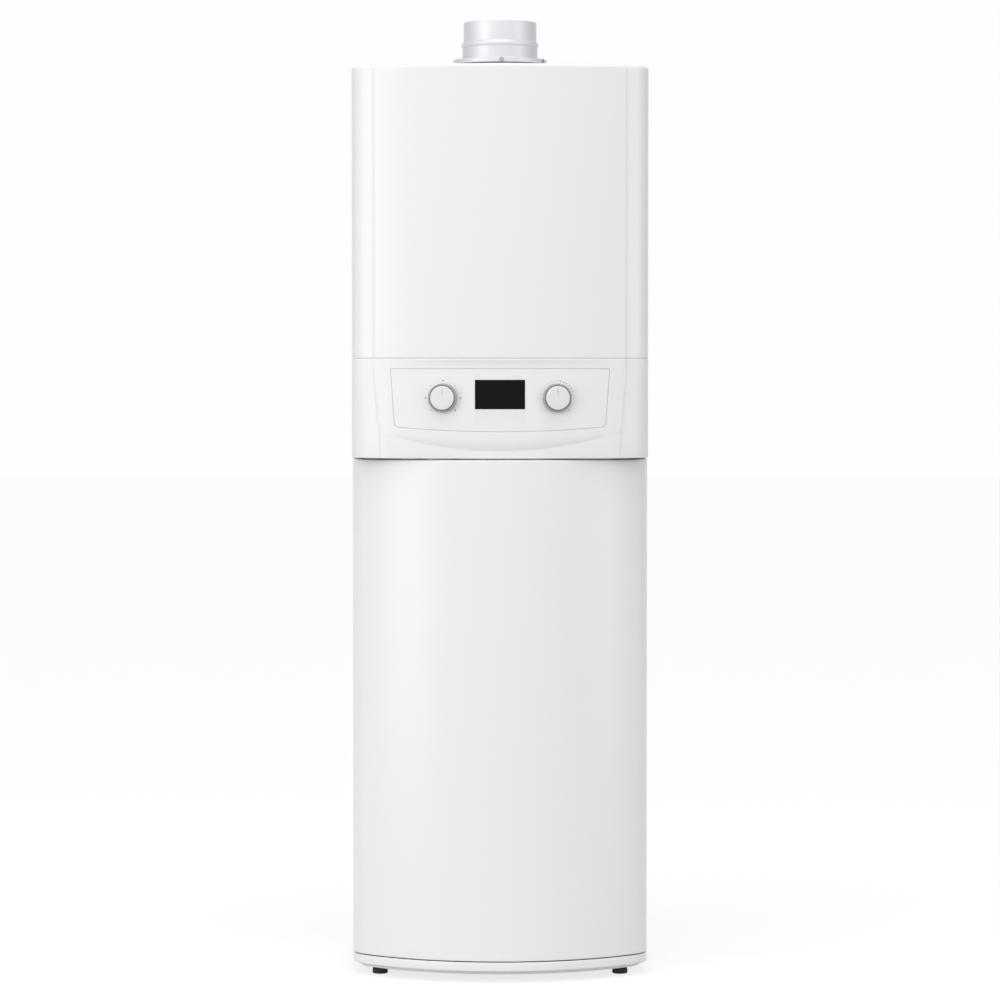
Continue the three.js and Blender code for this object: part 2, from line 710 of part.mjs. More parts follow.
/** The lower back sheet with a row of air slots near its foot. */
function lowerBack() {
  const foot = PLINTH_TOP + SEAT;
  const slots = [];
  for (let i = 0; i < VENT_SLOTS; i += 1) {
    const z = foot + VENT_RISE + i * VENT_PITCH;
    slots.push(block(-VENT_LENGTH / 2, VENT_LENGTH / 2, BACK_Y - 5, BACK_Y + 5, z, z + VENT_HEIGHT));
  }
  return cut(block(-HALF_WIDTH, HALF_WIDTH, BACK_Y - SHEET, BACK_Y, foot, LOWER_TOP), ...slots);
}

piece("upper_back_panel", upperBack(), "zincSheet");
piece("lower_back_panel", lowerBack(), "zincSheet");

// --- Shelf, upper casing and its top ---------------------------------------------------------

const SHELF_INSET = 20;
const TANK_Y = FRONT_Y + TANK_SETBACK;
const TANK_PORTS = {
  cold_inlet: { x: STUB_SPACING, y: TANK_Y + TANK_BOSS_REACH },
  hot_outlet: { x: -STUB_SPACING, y: TANK_Y + TANK_BOSS_REACH },
  coil_flow: { x: -COIL_PORT_X, y: TANK_Y },
  coil_return: { x: COIL_PORT_X, y: TANK_Y },
};

/** The shelf between the two casings, holed for the pipes to the tank. */
function midShelf() {
  const front = raise(lowerPlan(SHELF_INSET, LOWER_SIDE_Y + 2 * FLANGE), SHELF_Z, SHELF_TOP);
  const rear = block(-HALF_WIDTH, HALF_WIDTH, LOWER_SIDE_Y, BACK_Y, SHELF_Z, SHELF_TOP);
  const holes = Object.values(TANK_PORTS).map(({ x, y }) =>
    bar(PIPE_RADIUS + PIPE_HOLE_CLEARANCE, vec(x, y, SHELF_Z - 1), vec(x, y, SHELF_TOP + 1), 16),
  );
  return cut(join(front, rear), ...holes);
}

piece("mid_shelf", midShelf(), "zincSheet");

const COVER_TOP_FLANGE = 40;

/** The upper front cover: bowed middle and rolled columns in one pressing, its top edge rounded. */
function upperCover() {
  const r = COVER_TOP_ROUND;
  const outer = loft([
    upperRing(0, UPPER_COVER_BACK, COVER_Z),
    upperRing(0, UPPER_COVER_BACK, TOP_Z - r),
    upperRing(0.25 * r, UPPER_COVER_BACK, TOP_Z - 0.35 * r),
    upperRing(r, UPPER_COVER_BACK, TOP_Z),
  ]);
  return openCover(outer, upperPlan, upperOpening, UPPER_COVER_BACK, COVER_Z, TOP_Z, COVER_TOP_FLANGE);
}

/** The top sheet, stepped down in front so that the cover's top edge lies over it. */
function upperTop() {
  const tongueTop = TOP_PLATE_Z - SEAT;
  const plate = block(-HALF_WIDTH, HALF_WIDTH, UPPER_SIDE_Y, BACK_Y, TOP_PLATE_Z, TOP_Z);
  const overlap = UPPER_SIDE_Y + FLANGE;
  const tongue = raise(upperOpening(FLANGE + 3, overlap), tongueTop - SHEET, tongueTop);
  const opening = HALF_WIDTH - FLANGE - 3;
  const step = block(-opening, opening, UPPER_SIDE_Y, overlap, tongueTop - SHEET, TOP_Z);
  const hole = bar(FLUE_SOCKET_RADIUS, vec(0, FLUE_Y, TOP_Z - 9), vec(0, FLUE_Y, TOP_Z + 9), ROUND);
  return cut(join(plate, step, tongue), hole);
}

piece("upper_front_cover", upperCover(), "whiteEnamel");
piece("upper_top_panel", upperTop(), "whiteEnamel");

// --- Control fascia --------------------------------------------------------------------------

const controlUnit = new THREE.Group();
boiler.add(controlUnit);

const PANEL_TOP_Z = FASCIA_TOP - PANEL_TOP_DROP;
const PANEL_FOOT_Z = PANEL_TOP_Z - PANEL_HEIGHT;
const SMILE_STEPS = [1, 0.9, 0.65, 0.35, 0];

/** How far the fascia's bowed middle lies behind the cover's face, level by level from its foot. */
function fasciaLevels(x) {
  const across = Math.min(1, Math.abs(x) / PANEL_BOTTOM_HALF);
  const apron = APRON_SET * Math.max(0, 1 - (x / APRON_REACH) ** 2);
  const seat = Math.max(0, panelY(x) - faceY(x));
  const smileZ = FASCIA_Z + SMILE_LOW + SMILE_RISE * across ** 2;
  const footZ = PANEL_FOOT_Z - PANEL_SAG * (1 - across ** 2) - PANEL_GAP;
  const visor = SMILE_STEPS.map((t) => ({
    z: footZ + (smileZ - footZ) * t,
    back: seat + (Math.max(apron, seat) - seat) * (1 - Math.sqrt(1 - t * t)),
  }));
  return [
    { z: FASCIA_Z, back: apron },
    { z: smileZ - 1, back: apron },
    ...visor,
    { z: PANEL_TOP_Z + PANEL_GAP, back: seat },
    { z: FASCIA_TOP - 1.5, back: 0 },
    { z: FASCIA_TOP, back: 0 },
  ];
}

/** The fascia's skin at an inset, each level's columns widening towards the foot. */
function fasciaSkin(inset, backY, extend) {
  const levels = fasciaLevels(0).length;
  const rings = [];
  for (let level = 0; level < levels; level += 1) {
    const rise = (fasciaLevels(CREASE_X)[level].z - FASCIA_Z) / FASCIA_HEIGHT;
    const spread = COLUMN_SPREAD * (0.5 + 0.5 * Math.cos(Math.PI * Math.min(1, Math.max(0, rise))));
    const ring = upperOutline(inset, backY, spread).map(({ x, y, bowed }) => {
      const { z, back } = fasciaLevels(x)[level];
      return vec(x, y + (bowed ? back : 0), z);
    });
    rings.push(ring);
  }
  if (extend) {
    const top = rings.at(-1).map((p) => vec(p.x, p.y, FASCIA_TOP + 1));
    rings.forEach((ring) => ring.forEach((p) => p.setZ(Math.max(p.z, FASCIA_Z + FASCIA_FLOOR))));
    rings.push(top);
  }
  return loft(rings);
}

/** The trapezoid of the control panel in front view, grown by margin. */
function panelOutline(margin) {
  const top = PANEL_TOP_Z + margin;
  const foot = PANEL_FOOT_Z - margin;
  const [wide, narrow] = [PANEL_TOP_HALF + margin, PANEL_BOTTOM_HALF + margin];
  const [r, s] = [PANEL_TOP_CORNER, PANEL_BOTTOM_CORNER];
  const shape = new THREE.Shape();
  shape.moveTo(-wide + r, top);
  shape.quadraticCurveTo(-wide, top, -wide + (r * (wide - narrow)) / PANEL_HEIGHT, top - r);
  shape.lineTo(-narrow - (s * (wide - narrow)) / PANEL_HEIGHT, foot + s);
  shape.quadraticCurveTo(-narrow, foot, -narrow + s, foot - 0.09 * s);
  shape.quadraticCurveTo(0, foot - 2 * PANEL_SAG, narrow - s, foot - 0.09 * s);
  shape.quadraticCurveTo(narrow, foot, narrow + (s * (wide - narrow)) / PANEL_HEIGHT, foot + s);
  shape.lineTo(wide - (r * (wide - narrow)) / PANEL_HEIGHT, top - r);
  shape.quadraticCurveTo(wide, top, wide - r, top);
  return shape;
}

/** A bowed slab that follows the panel's face, from inset to inset + thickness behind it. */
function panelSlab(inset, thickness, halfWidth, z0, z1) {
  const front = [];
  const back = [];
  for (let i = 0; i <= FACE_STEPS; i += 1) {
    const x = halfWidth * ((2 * i) / FACE_STEPS - 1);
    front.push([x, panelY(x, inset)]);
    back.push([x, panelY(x, inset + thickness)]);
  }
  return raise(polygon([...front, ...back.reverse()]), z0, z1);
}

const KNOB_Z = FASCIA_TOP - KNOB_DROP;
const WINDOW_Z = FASCIA_TOP - WINDOW_DROP;
const PANEL_REACH = PANEL_TOP_HALF + 12;

/** A control's own frame: its axis comes out of the panel's face, square to it. */
function knobFrame(side) {
  const frame = new THREE.Group();
  const x = side * KNOB_OFFSET;
  frame.position.set(x, panelY(x), KNOB_Z);
  frame.rotation.z = side * KNOB_TILT;
  frame.updateMatrix();
  controlUnit.add(frame);
  return frame;
}

/** A bar along a control's axis, from depth y0 to y1 behind the panel's face. */
function axialBar(frame, radius, y0, y1, sides = ROUND) {
  const [from, to] = [vec(0, y0, 0), vec(0, y1, 0)];
  return bar(radius, from, to, sides).transform(frame.matrix.elements);
}

const knobFrames = Object.fromEntries(
  Object.entries(SIDES).map(([name, side]) => [name, knobFrame(side)]),
);

const FASCIA_FLOOR_DEPTH = 110; // the floor that carries the control box ends here

/** The moulded control fascia: columns, visor, recessed apron, and the stepped seat of the panel. */
function controlFascia() {
  const wall = FASCIA_WALL;
  const skin = fasciaSkin(0, UPPER_COVER_BACK, false);
  const hollow = fasciaSkin(wall, UPPER_COVER_BACK + 5, true);
  const half = HALF_WIDTH - FLANGE - 12;
  const floorEnd = FRONT_Y + FASCIA_FLOOR_DEPTH;
  const below = block(-half, half, floorEnd, UPPER_COVER_BACK + 5, FASCIA_Z - 1, FASCIA_Z + 2 * wall);
  const seatDepth = PANEL_THICKNESS + SEAT;
  const pocketRange = [FRONT_Y - 20, BACK_Y];
  const grown = drawBack(panelOutline(PANEL_GAP), ...pocketRange, 8);
  const pocket = grown.intersect(
    panelSlab(-20, 20 + seatDepth, PANEL_REACH, PANEL_FOOT_Z - 30, PANEL_TOP_Z + 10),
  );
  const opening = drawBack(panelOutline(-PANEL_LEDGE), FRONT_Y - 20, UPPER_COVER_BACK, 8);
  return cut(skin, hollow, below, pocket, opening);
}

/** The panel plate with its window pocket and the holes for the two controls. */
function panelPlate() {
  const outline = drawBack(panelOutline(0), FRONT_Y - 20, BACK_Y, 8);
  const slab = panelSlab(0, PANEL_THICKNESS, PANEL_REACH, PANEL_FOOT_Z - 30, PANEL_TOP_Z + 10);
  let plate = slab.intersect(outline);
  const [w, h] = [WINDOW_WIDTH / 2 + SEAT, WINDOW_HEIGHT / 2 + SEAT];
  plate = cut(plate, block(-w, w, FRONT_Y - 20, FRONT_Y + 40, WINDOW_Z - h, WINDOW_Z + h));
  for (const frame of Object.values(knobFrames)) {
    plate = cut(plate, axialBar(frame, SHAFT_RADIUS + SEAT, -20, 20, 16));
  }
  return plate;
}

piece("control_fascia", controlFascia(), "whitePlastic", controlUnit);
piece("control_panel_plate", panelPlate(), "whitePlastic", controlUnit);
const [windowHalf, windowRise] = [WINDOW_WIDTH / 2, WINDOW_HEIGHT / 2];
const windowPane = panelSlab(
  0.1,
  WINDOW_THICKNESS,
  windowHalf,
  WINDOW_Z - windowRise,
  WINDOW_Z + windowRise,
);
piece("display_window", windowPane, "darkGlass", controlUnit);

/** A knob cap: a shallow cup on a hub, with a pointer groove in its face. */
function knobCap() {
  const [radius, face, edge] = [KNOB_CAP_RADIUS, KNOB_PROUD, KNOB_EDGE];
  const shell = turned(
    [
      [0, SEAT],
      [SHAFT_RADIUS + KNOB_WALL + 1, SEAT],
      [SHAFT_RADIUS + KNOB_WALL + 1, face - 2 * KNOB_WALL],
      [radius - KNOB_WALL, face - 2 * KNOB_WALL],
      [radius - KNOB_WALL, KNOB_RUN],
      [radius, KNOB_RUN],
      [radius - 0.4, face - edge],
      [radius - 0.3 * edge - 0.4, face - 0.3 * edge],
      [radius - edge - 0.4, face],
      [0, face],
    ],
    vec(0, 0, 0),
    "y",
    36,
  );
  const half = POINTER_WIDTH / 2;
  const groove = block(-half, half, face - POINTER_DEPTH, face + 1, -0.82 * radius, -0.25 * radius);
  const bore = bar(SHAFT_RADIUS + SEAT, vec(0, -1, 0), vec(0, face - 2 * KNOB_WALL, 0), 16);
  return cut(shell, groove, bore);
}

for (const side of Object.keys(SIDES)) {
  const frame = knobFrames[side];
  const inner = KNOB_CAP_RADIUS + KNOB_RUN;
  const bezel = turned(
    [
      [inner, SEAT],
      [inner + BEZEL_WIDTH, SEAT],
      [inner + BEZEL_WIDTH, BEZEL_PROUD - 1],
      [inner + BEZEL_WIDTH - 1, BEZEL_PROUD],
      [inner, BEZEL_PROUD],
      [inner, SEAT],
    ],
    vec(0, 0, 0),
    "y",
    36,
  );
  const face = -(KNOB_PROUD - 2 * KNOB_WALL - SEAT);
  const behind = PANEL_THICKNESS + SEAT;
  const encoder = join(
    bar(ENCODER_RADIUS, vec(0, behind, 0), vec(0, behind + ENCODER_DEPTH, 0), 16),
    bar(SHAFT_RADIUS, vec(0, face, 0), vec(0, behind + 1, 0), 16),
  );
  piece(`${side}_knob_bezel`, bezel, "greyPlastic", frame).rotation.x = Math.PI;
  piece(`${side}_knob`, knobCap(), "whitePlastic", frame).rotation.x = Math.PI;
  piece(`${side}_encoder`, encoder, "blackPlastic", frame);
}

// --- Control box and board -------------------------------------------------------------------

const BOARD_Y = FRONT_Y + BOARD_SETBACK;
const BOX_Z = FASCIA_Z + FASCIA_FLOOR + SEAT;
const BOX_Y = BOARD_Y + BOARD_THICKNESS + SEAT;
const LCD_MARGIN = 4;

/** The display board: a printed circuit board that carries the display behind the window. */
function displayBoard() {
  const half = BOARD_WIDTH / 2;
  const foot = KNOB_Z - BOARD_HEIGHT / 2;
  const board = block(-half, half, BOARD_Y, BOARD_Y + BOARD_THICKNESS, foot, foot + BOARD_HEIGHT);
  const screenFront = panelY(0, PANEL_THICKNESS) + SEAT + 2;
  const screen = block(
    -windowHalf + LCD_MARGIN,
    windowHalf - LCD_MARGIN,
    screenFront,
    BOARD_Y + 1,
    WINDOW_Z - windowRise + LCD_MARGIN,
    WINDOW_Z + windowRise - LCD_MARGIN,
  );
  return join(board, screen);
}

/** The tray-like box for the controls, open in front where the board closes it. */
function controlBox() {
  const [half, back, top] = [BOX_WIDTH / 2, BOX_Y + BOX_DEPTH, BOX_Z + BOX_HEIGHT];
  const outer = block(-half, half, BOX_Y, back, BOX_Z, top);
  const w = BOX_WALL;
  const inner = block(-half + w, half - w, BOX_Y - 1, back - w, BOX_Z + w, top - w);
  const grips = Object.values(SIDES).map((side) =>
    block(side * half - 6, side * half + 6, BOX_Y, BOX_Y + 8, BOX_Z, top),
  );
  const cableHole = bar(9, vec(half * 0.6, back - 9, BOX_Z + 30), vec(half * 0.6, back + 9, BOX_Z + 30), 12);
  const ribs = [-0.5, 0, 0.5].map((share) =>
    block(share * half - 1, share * half + 1, BOX_Y, back - 1, BOX_Z + 1, BOX_Z + 3 * w),
  );
  return cut(join(cut(outer, inner), ...ribs, ...grips), cableHole);
}

piece("display_board", displayBoard(), "greenBoard", controlUnit);
piece("control_box", controlBox(), "greyPlastic", controlUnit);

// --- Flue adapter ----------------------------------------------------------------------------

const EXCHANGER_Z = TOP_Z - EXCHANGER_DROP;
const FLUE_CUFF_TOP = EXCHANGER_Z + EXCHANGER_RADIUS + 22;
const CUFF_WALL = 4;
const CUFF_DEPTH = 16;

const collar = turned(
  [
    [FLUE_SOCKET_RADIUS, 0],
    [COLLAR_RADIUS, 0],
    [COLLAR_RADIUS, COLLAR_HEIGHT - 1],
    [COLLAR_RADIUS - 1, COLLAR_HEIGHT],
    [FLUE_SOCKET_RADIUS, COLLAR_HEIGHT],
    [FLUE_SOCKET_RADIUS, 0],
  ],
  vec(0, FLUE_Y, TOP_Z + SEAT),
);
piece("flue_collar", collar, "greyPlastic");

/** The adapter: a flange with a stepped tube, a seal bead and an open 125 socket. */
function flueAdapter() {
  const [inner, outer] = [FLUE_SOCKET_RADIUS, FLUE_SOCKET_RADIUS + FLUE_WALL];
  const [foot, bead] = [FLUE_BEAD_RISE - 4, FLUE_BEAD_RISE + FLUE_BEAD_HEIGHT];
  const beadBulge = FLUE_BEAD_RADIUS - FLUE_WALL;
  const tube = turned(
    [
      [inner, -FLUE_FLANGE_THICKNESS],
      [FLUE_FOOT_RADIUS, -FLUE_FLANGE_THICKNESS],
      [FLUE_FOOT_RADIUS, foot],
        [FLUE_BEAD_RADIUS, FLUE_BEAD_RISE + 3],
      [FLUE_BEAD_RADIUS, bead - 3],
      [outer, bead + 3],
      [outer, FLUE_RISE],
      [inner, FLUE_RISE],
      [inner, bead],
      [beadBulge, bead - 3],
      [beadBulge, FLUE_BEAD_RISE + 3],
      [inner, FLUE_BEAD_RISE],
      [inner, -FLUE_FLANGE_THICKNESS],
    ],
    vec(0, FLUE_Y, FLUE_FLANGE_TOP),
    "z",
    ROUND,
  );
  const axis = (z) => vec(0, FLUE_Y, z);
  const plate = bar(FLUE_FLANGE_RADIUS, axis(FLUE_FLANGE_Z), axis(FLUE_FLANGE_TOP), 36);
  const screws = FLUE_SCREW_ANGLES.map((degrees) => {
    const angle = (degrees * Math.PI) / 180;
    const at = (radius) => {
      const z = (FLUE_FLANGE_Z + FLUE_FLANGE_TOP) / 2;
      return vec(radius * Math.cos(angle), FLUE_Y + radius * Math.sin(angle), z);
    };
    return bar(FLUE_SCREW_RADIUS, at(FLUE_FLANGE_RADIUS - 3), at(FLUE_FLANGE_RADIUS + 2), 12);
  });
  const bore = bar(inner, axis(FLUE_FLANGE_Z - 1), axis(FLUE_FLANGE_TOP + 1), ROUND);
  return join(cut(plate, bore), tube, ...screws);
}

piece("flue_adapter", flueAdapter(), "flueGrey");
const innerFoot = FLUE_CUFF_TOP - CUFF_DEPTH + SEAT;
const innerRim = FLUE_RIM_Z - INNER_FLUE_DROP;
const innerFlue = turned(
  [
    [INNER_FLUE_RADIUS - INNER_FLUE_WALL, innerFoot],
    [INNER_FLUE_RADIUS, innerFoot],
    [INNER_FLUE_RADIUS, innerRim],
    [INNER_FLUE_RADIUS - INNER_FLUE_WALL, innerRim],
    [INNER_FLUE_RADIUS - INNER_FLUE_WALL, innerFoot],
  ],
  vec(0, FLUE_Y, 0),
  "z",
  32,
);
piece("flue_inner_pipe", innerFlue, "aluminium");

// --- Heat exchanger and burner door ----------------------------------------------------------

const EXCHANGER_Y = FRONT_Y + EXCHANGER_SETBACK;
const EXCHANGER_BACK = EXCHANGER_Y + EXCHANGER_LENGTH;
const EXCHANGER_MIDDLE_Y = (EXCHANGER_Y + EXCHANGER_BACK) / 2;
const BOSS_X = 58;
const EXCHANGER_WALL = 6;
const BRACKET_HALF = 45;
const BRACKET_RISE = 30;
const BOSS_RADIUS = 14;
const BOSS_FOOT = EXCHANGER_Z - EXCHANGER_RADIUS - 4;
const SUMP_RADIUS = 17;
const SUMP_FOOT = EXCHANGER_Z - EXCHANGER_RADIUS - 16;

/** The ribbed drum of the heat exchanger, with flue cuff, water bosses and condensate outlet. */
function heatExchanger() {
  const profile = [[0, 0], [EXCHANGER_RADIUS, 0], [EXCHANGER_RADIUS, 10]];
  const pitch = (EXCHANGER_LENGTH - 20) / EXCHANGER_RIBS;
  for (let i = 0; i < EXCHANGER_RIBS; i += 1) {
    const start = 10 + i * pitch;
    profile.push([EXCHANGER_RADIUS - RIB_DEPTH, start + 0.15 * pitch]);
    profile.push([EXCHANGER_RADIUS - RIB_DEPTH, start + 0.85 * pitch]);
    profile.push([EXCHANGER_RADIUS, start + pitch]);
  }
  profile.push([EXCHANGER_RADIUS, EXCHANGER_LENGTH], [0, EXCHANGER_LENGTH]);
  const drum = turned(profile, vec(EXCHANGER_X, EXCHANGER_Y, EXCHANGER_Z), "y", ROUND);
  const cuffRadius = INNER_FLUE_RADIUS + CUFF_WALL;
  const cuff = bar(cuffRadius, vec(0, FLUE_Y, EXCHANGER_Z), vec(0, FLUE_Y, FLUE_CUFF_TOP), 32);
  const socket = bar(
    INNER_FLUE_RADIUS + SEAT,
    vec(0, FLUE_Y, FLUE_CUFF_TOP - CUFF_DEPTH),
    vec(0, FLUE_Y, FLUE_CUFF_TOP + 1),
    32,
  );
  const bosses = Object.values(SIDES).map((side) => {
    const x = EXCHANGER_X + side * BOSS_X;
    return bar(BOSS_RADIUS, vec(x, EXCHANGER_MIDDLE_Y, EXCHANGER_Z - 40), vec(x, EXCHANGER_MIDDLE_Y, BOSS_FOOT), 16);
  });
  const sump = bar(
    SUMP_RADIUS,
    vec(EXCHANGER_X, EXCHANGER_MIDDLE_Y, EXCHANGER_Z - 40),
    vec(EXCHANGER_X, EXCHANGER_MIDDLE_Y, SUMP_FOOT),
    16,
  );
  const bracket = block(
    -INSIDE_X,
    EXCHANGER_X - 0.85 * EXCHANGER_RADIUS,
    EXCHANGER_MIDDLE_Y - BRACKET_HALF,
    EXCHANGER_MIDDLE_Y + BRACKET_HALF,
    EXCHANGER_Z + BRACKET_RISE,
    EXCHANGER_Z + BRACKET_RISE + 4,
  );
  const chamberEnd = EXCHANGER_Y + EXCHANGER_LENGTH - EXCHANGER_WALL;
  const chamber = bar(
    EXCHANGER_RADIUS - RIB_DEPTH - EXCHANGER_WALL,
    vec(EXCHANGER_X, EXCHANGER_Y - 1, EXCHANGER_Z),
    vec(EXCHANGER_X, chamberEnd, EXCHANGER_Z),
    ROUND,
  );
  const throat = bar(
    INNER_FLUE_RADIUS - CUFF_WALL,
    vec(0, FLUE_Y, EXCHANGER_Z + 1),
    vec(0, FLUE_Y, FLUE_CUFF_TOP),
    ROUND,
  );
  const body = join(drum, cuff, ...bosses, sump);
  return join(cut(body, socket, chamber, throat), bracket);
}

const DOOR_Y = EXCHANGER_Y - SEAT;
const DOOR_BOSS = 10;

/** The burner door: a ribbed disc with bolt lugs and a neck for the gas and air. */
function burnerDoor() {
  const centre = vec(EXCHANGER_X, DOOR_Y, EXCHANGER_Z);
  const disc = bar(DOOR_RADIUS, vec(centre.x, DOOR_Y - DOOR_THICKNESS, centre.z), centre, 32);
  const neck = bar(
    DUCT_RADIUS + 8,
    vec(centre.x, DOOR_Y - DOOR_THICKNESS - DOOR_BOSS, centre.z),
    vec(centre.x, DOOR_Y - 1, centre.z),
    24,
  );
  const extras = [];
  for (let i = 0; i < DOOR_BOLTS; i += 1) {
    const angle = (2 * Math.PI * (i + 0.5)) / DOOR_BOLTS;
    const [c, s] = [Math.cos(angle), Math.sin(angle)];
    const [x, z] = [centre.x + DOOR_RADIUS * c, centre.z + DOOR_RADIUS * s];
    extras.push(bar(8, vec(x, DOOR_Y - DOOR_THICKNESS - 4, z), vec(x, DOOR_Y, z), 6));
    const [rx, rz] = [centre.x + (DOOR_RADIUS - 4) * c, centre.z + (DOOR_RADIUS - 4) * s];
    const ribY = DOOR_Y - DOOR_THICKNESS - 2;
    extras.push(bar(3, vec(centre.x, ribY, centre.z), vec(rx, ribY, rz), 6));
  }
  const burner = bar(
    BURNER_RADIUS,
    vec(centre.x, DOOR_Y - 1, centre.z),
    vec(centre.x, DOOR_Y + BURNER_LENGTH, centre.z),
    ROUND,
  );
  return join(disc, neck, burner, ...extras);
}

piece("heat_exchanger", heatExchanger(), "stainless");
piece("burner_door", burnerDoor(), "aluminium");

const electrodeX = EXCHANGER_X - 52;
const electrodeZ = EXCHANGER_Z;
const electrodeSeat = DOOR_Y - DOOR_THICKNESS - SEAT;
const electrode = join(
  bar(9, vec(electrodeX, electrodeSeat - 4, electrodeZ), vec(electrodeX, electrodeSeat, electrodeZ), 6),
  bar(4, vec(electrodeX, electrodeSeat - 26, electrodeZ), vec(electrodeX, electrodeSeat - 1, electrodeZ), 12),
);
piece("ignition_electrode", electrode, "whitePlastic");

// --- Fan -------------------------------------------------------------------------------------

const FAN_Z = TOP_Z - FAN_DROP;
const DUCT_Y = DOOR_Y - DOOR_THICKNESS - DOOR_BOSS - DUCT_REACH + DUCT_RADIUS;
const FAN_Y = DUCT_Y - FAN_WIDTH / 2;
const FAN_BACK = FAN_Y + FAN_WIDTH;
const OUTLET_Z = EXCHANGER_Z;
const OUTLET_X = EXCHANGER_X + EXCHANGER_RADIUS + 12;

/** The volute's spiral about the fan's axis, grown by margin, running out into the outlet. */
function voluteOutline(margin) {
  const half = DUCT_RADIUS + 3 + margin;
  const points = [];
  const steps = 28;
  const start = -0.4 * Math.PI;
  for (let i = 0; i <= steps; i += 1) {
    const turn = (1.75 * Math.PI * i) / steps;
    const radius = VOLUTE_START + margin + VOLUTE_GROWTH * (1 - turn / (2 * Math.PI));
    points.push([FAN_X + radius * Math.cos(start + turn), FAN_Z + radius * Math.sin(start + turn)]);
  }
  points.push([OUTLET_X + 6, OUTLET_Z + half], [OUTLET_X, OUTLET_Z + half]);
  points.push([OUTLET_X, OUTLET_Z - half], [OUTLET_X + 12, OUTLET_Z - half]);
  return polygon(points);
}

/** The fan's volute: two flat cheeks, the spiral wall between them and an open inlet. */
function fanHousing() {
  const wall = VOLUTE_WALL;
  const shell = drawBack(voluteOutline(0), FAN_Y, FAN_BACK);
  const chamber = drawBack(voluteOutline(-wall), FAN_Y + wall, FAN_BACK - wall);
  const mouth = bar(DUCT_RADIUS, vec(OUTLET_X - 5, DUCT_Y, OUTLET_Z), vec(OUTLET_X + 20, DUCT_Y, OUTLET_Z), 20);
  const inlet = bar(FAN_INLET_RADIUS, vec(FAN_X, FAN_Y - 5, FAN_Z), vec(FAN_X, FAN_Y + wall + 1, FAN_Z), ROUND);
  const shaftHole = bar(6, vec(FAN_X, FAN_BACK - wall - 1, FAN_Z), vec(FAN_X, FAN_BACK + 5, FAN_Z), 16);
  return cut(shell, chamber, mouth, inlet, shaftHole);
}

/** The impeller: curved blades between a back plate and a front ring, on a hub. */
function fanImpeller() {
  const [front, back] = [FAN_Y + VOLUTE_WALL + 5, FAN_BACK - VOLUTE_WALL - 4];
  const at = (y) => vec(0, y, 0);
  const plate = bar(IMPELLER_RADIUS, at(back - 2), at(back), ROUND);
  const hub = bar(12, at(front + 8), at(back), 16);
  const ring = cut(
    bar(IMPELLER_RADIUS, at(front), at(front + 2), ROUND),
    bar(IMPELLER_RADIUS - BLADE_DEPTH, at(front - 1), at(front + 3), ROUND),
  );
  const blades = [];
  for (let i = 0; i < IMPELLER_BLADES; i += 1) {
    const blade = block(
      IMPELLER_RADIUS - BLADE_DEPTH + 1,
      IMPELLER_RADIUS - 1,
      front + 1,
      back - 1,
      -BLADE_THICKNESS / 2,
      BLADE_THICKNESS / 2,
    );
    const middle = IMPELLER_RADIUS - BLADE_DEPTH / 2;
    blades.push(blade.translate([-middle, 0, 0]).rotate([0, 32, 0]).translate([middle, 0, 0])
      .rotate([0, (360 * i) / IMPELLER_BLADES, 0]));
  }
  const shaft = bar(4, at(back - 1), at(FAN_BACK + 4), 12);
  return join(plate, hub, ring, shaft, ...blades);
}

piece("fan_housing", fanHousing(), "aluminium");
piece("fan_impeller", fanImpeller(), "blackPlastic").position.set(FAN_X, 0, FAN_Z);

const motorSeat = FAN_BACK + SEAT;
const fanMotor = cut(
  turned(
    [
      [0, 0],
      [FAN_MOTOR_RADIUS, 0],
      [FAN_MOTOR_RADIUS, FAN_MOTOR_LENGTH - 6],
      [FAN_MOTOR_RADIUS - 6, FAN_MOTOR_LENGTH],
      [0, FAN_MOTOR_LENGTH],
    ],
    vec(FAN_X, motorSeat, FAN_Z),
    "y",
  ),
  bar(4.4, vec(FAN_X, motorSeat - 1, FAN_Z), vec(FAN_X, motorSeat + 8, FAN_Z), 12),
);
piece("fan_motor", fanMotor, "blackPlastic");

const venturi = turned(
  [
    [FAN_INLET_RADIUS - 4, 0],
    [FAN_INLET_RADIUS + 8, 0],
    [FAN_INLET_RADIUS + 8, -4],
    [FAN_INLET_RADIUS - 1, -8],
    [FAN_INLET_RADIUS + 4, -VENTURI_LENGTH],
    [FAN_INLET_RADIUS + 1, -VENTURI_LENGTH],
    [FAN_INLET_RADIUS - 8, -0.5 * VENTURI_LENGTH],
    [FAN_INLET_RADIUS - 4, 0],
  ],
  vec(FAN_X, FAN_Y - SEAT, FAN_Z),
  "y",
);
piece("fan_venturi", venturi, "blackPlastic");

const ductStart = vec(OUTLET_X - SEAT, DUCT_Y, OUTLET_Z);
const ductEnd = vec(EXCHANGER_X, DOOR_Y - DOOR_THICKNESS - DOOR_BOSS - SEAT, EXCHANGER_Z);
const ductCorner = vec(EXCHANGER_X, DUCT_Y, EXCHANGER_Z);
const ductBend = DUCT_REACH - DUCT_RADIUS - 1;
const gasAirDuct = pipe([ductStart, ductCorner, ductEnd], DUCT_RADIUS, ductBend, 18);
piece("gas_air_duct", gasAirDuct, "aluminium");

// --- Expansion vessel ------------------------------------------------------------------------

const VESSEL_Z = TOP_Z - VESSEL_DROP;
const VESSEL_Y = INSIDE_BACK_Y - VESSEL_DEPTH;
const VESSEL_RIM = 3;
const VESSEL_DISH = 16;
const VESSEL_LIP = 4;
const VESSEL_WALL = 2;
const VESSEL_NOZZLE = 18;

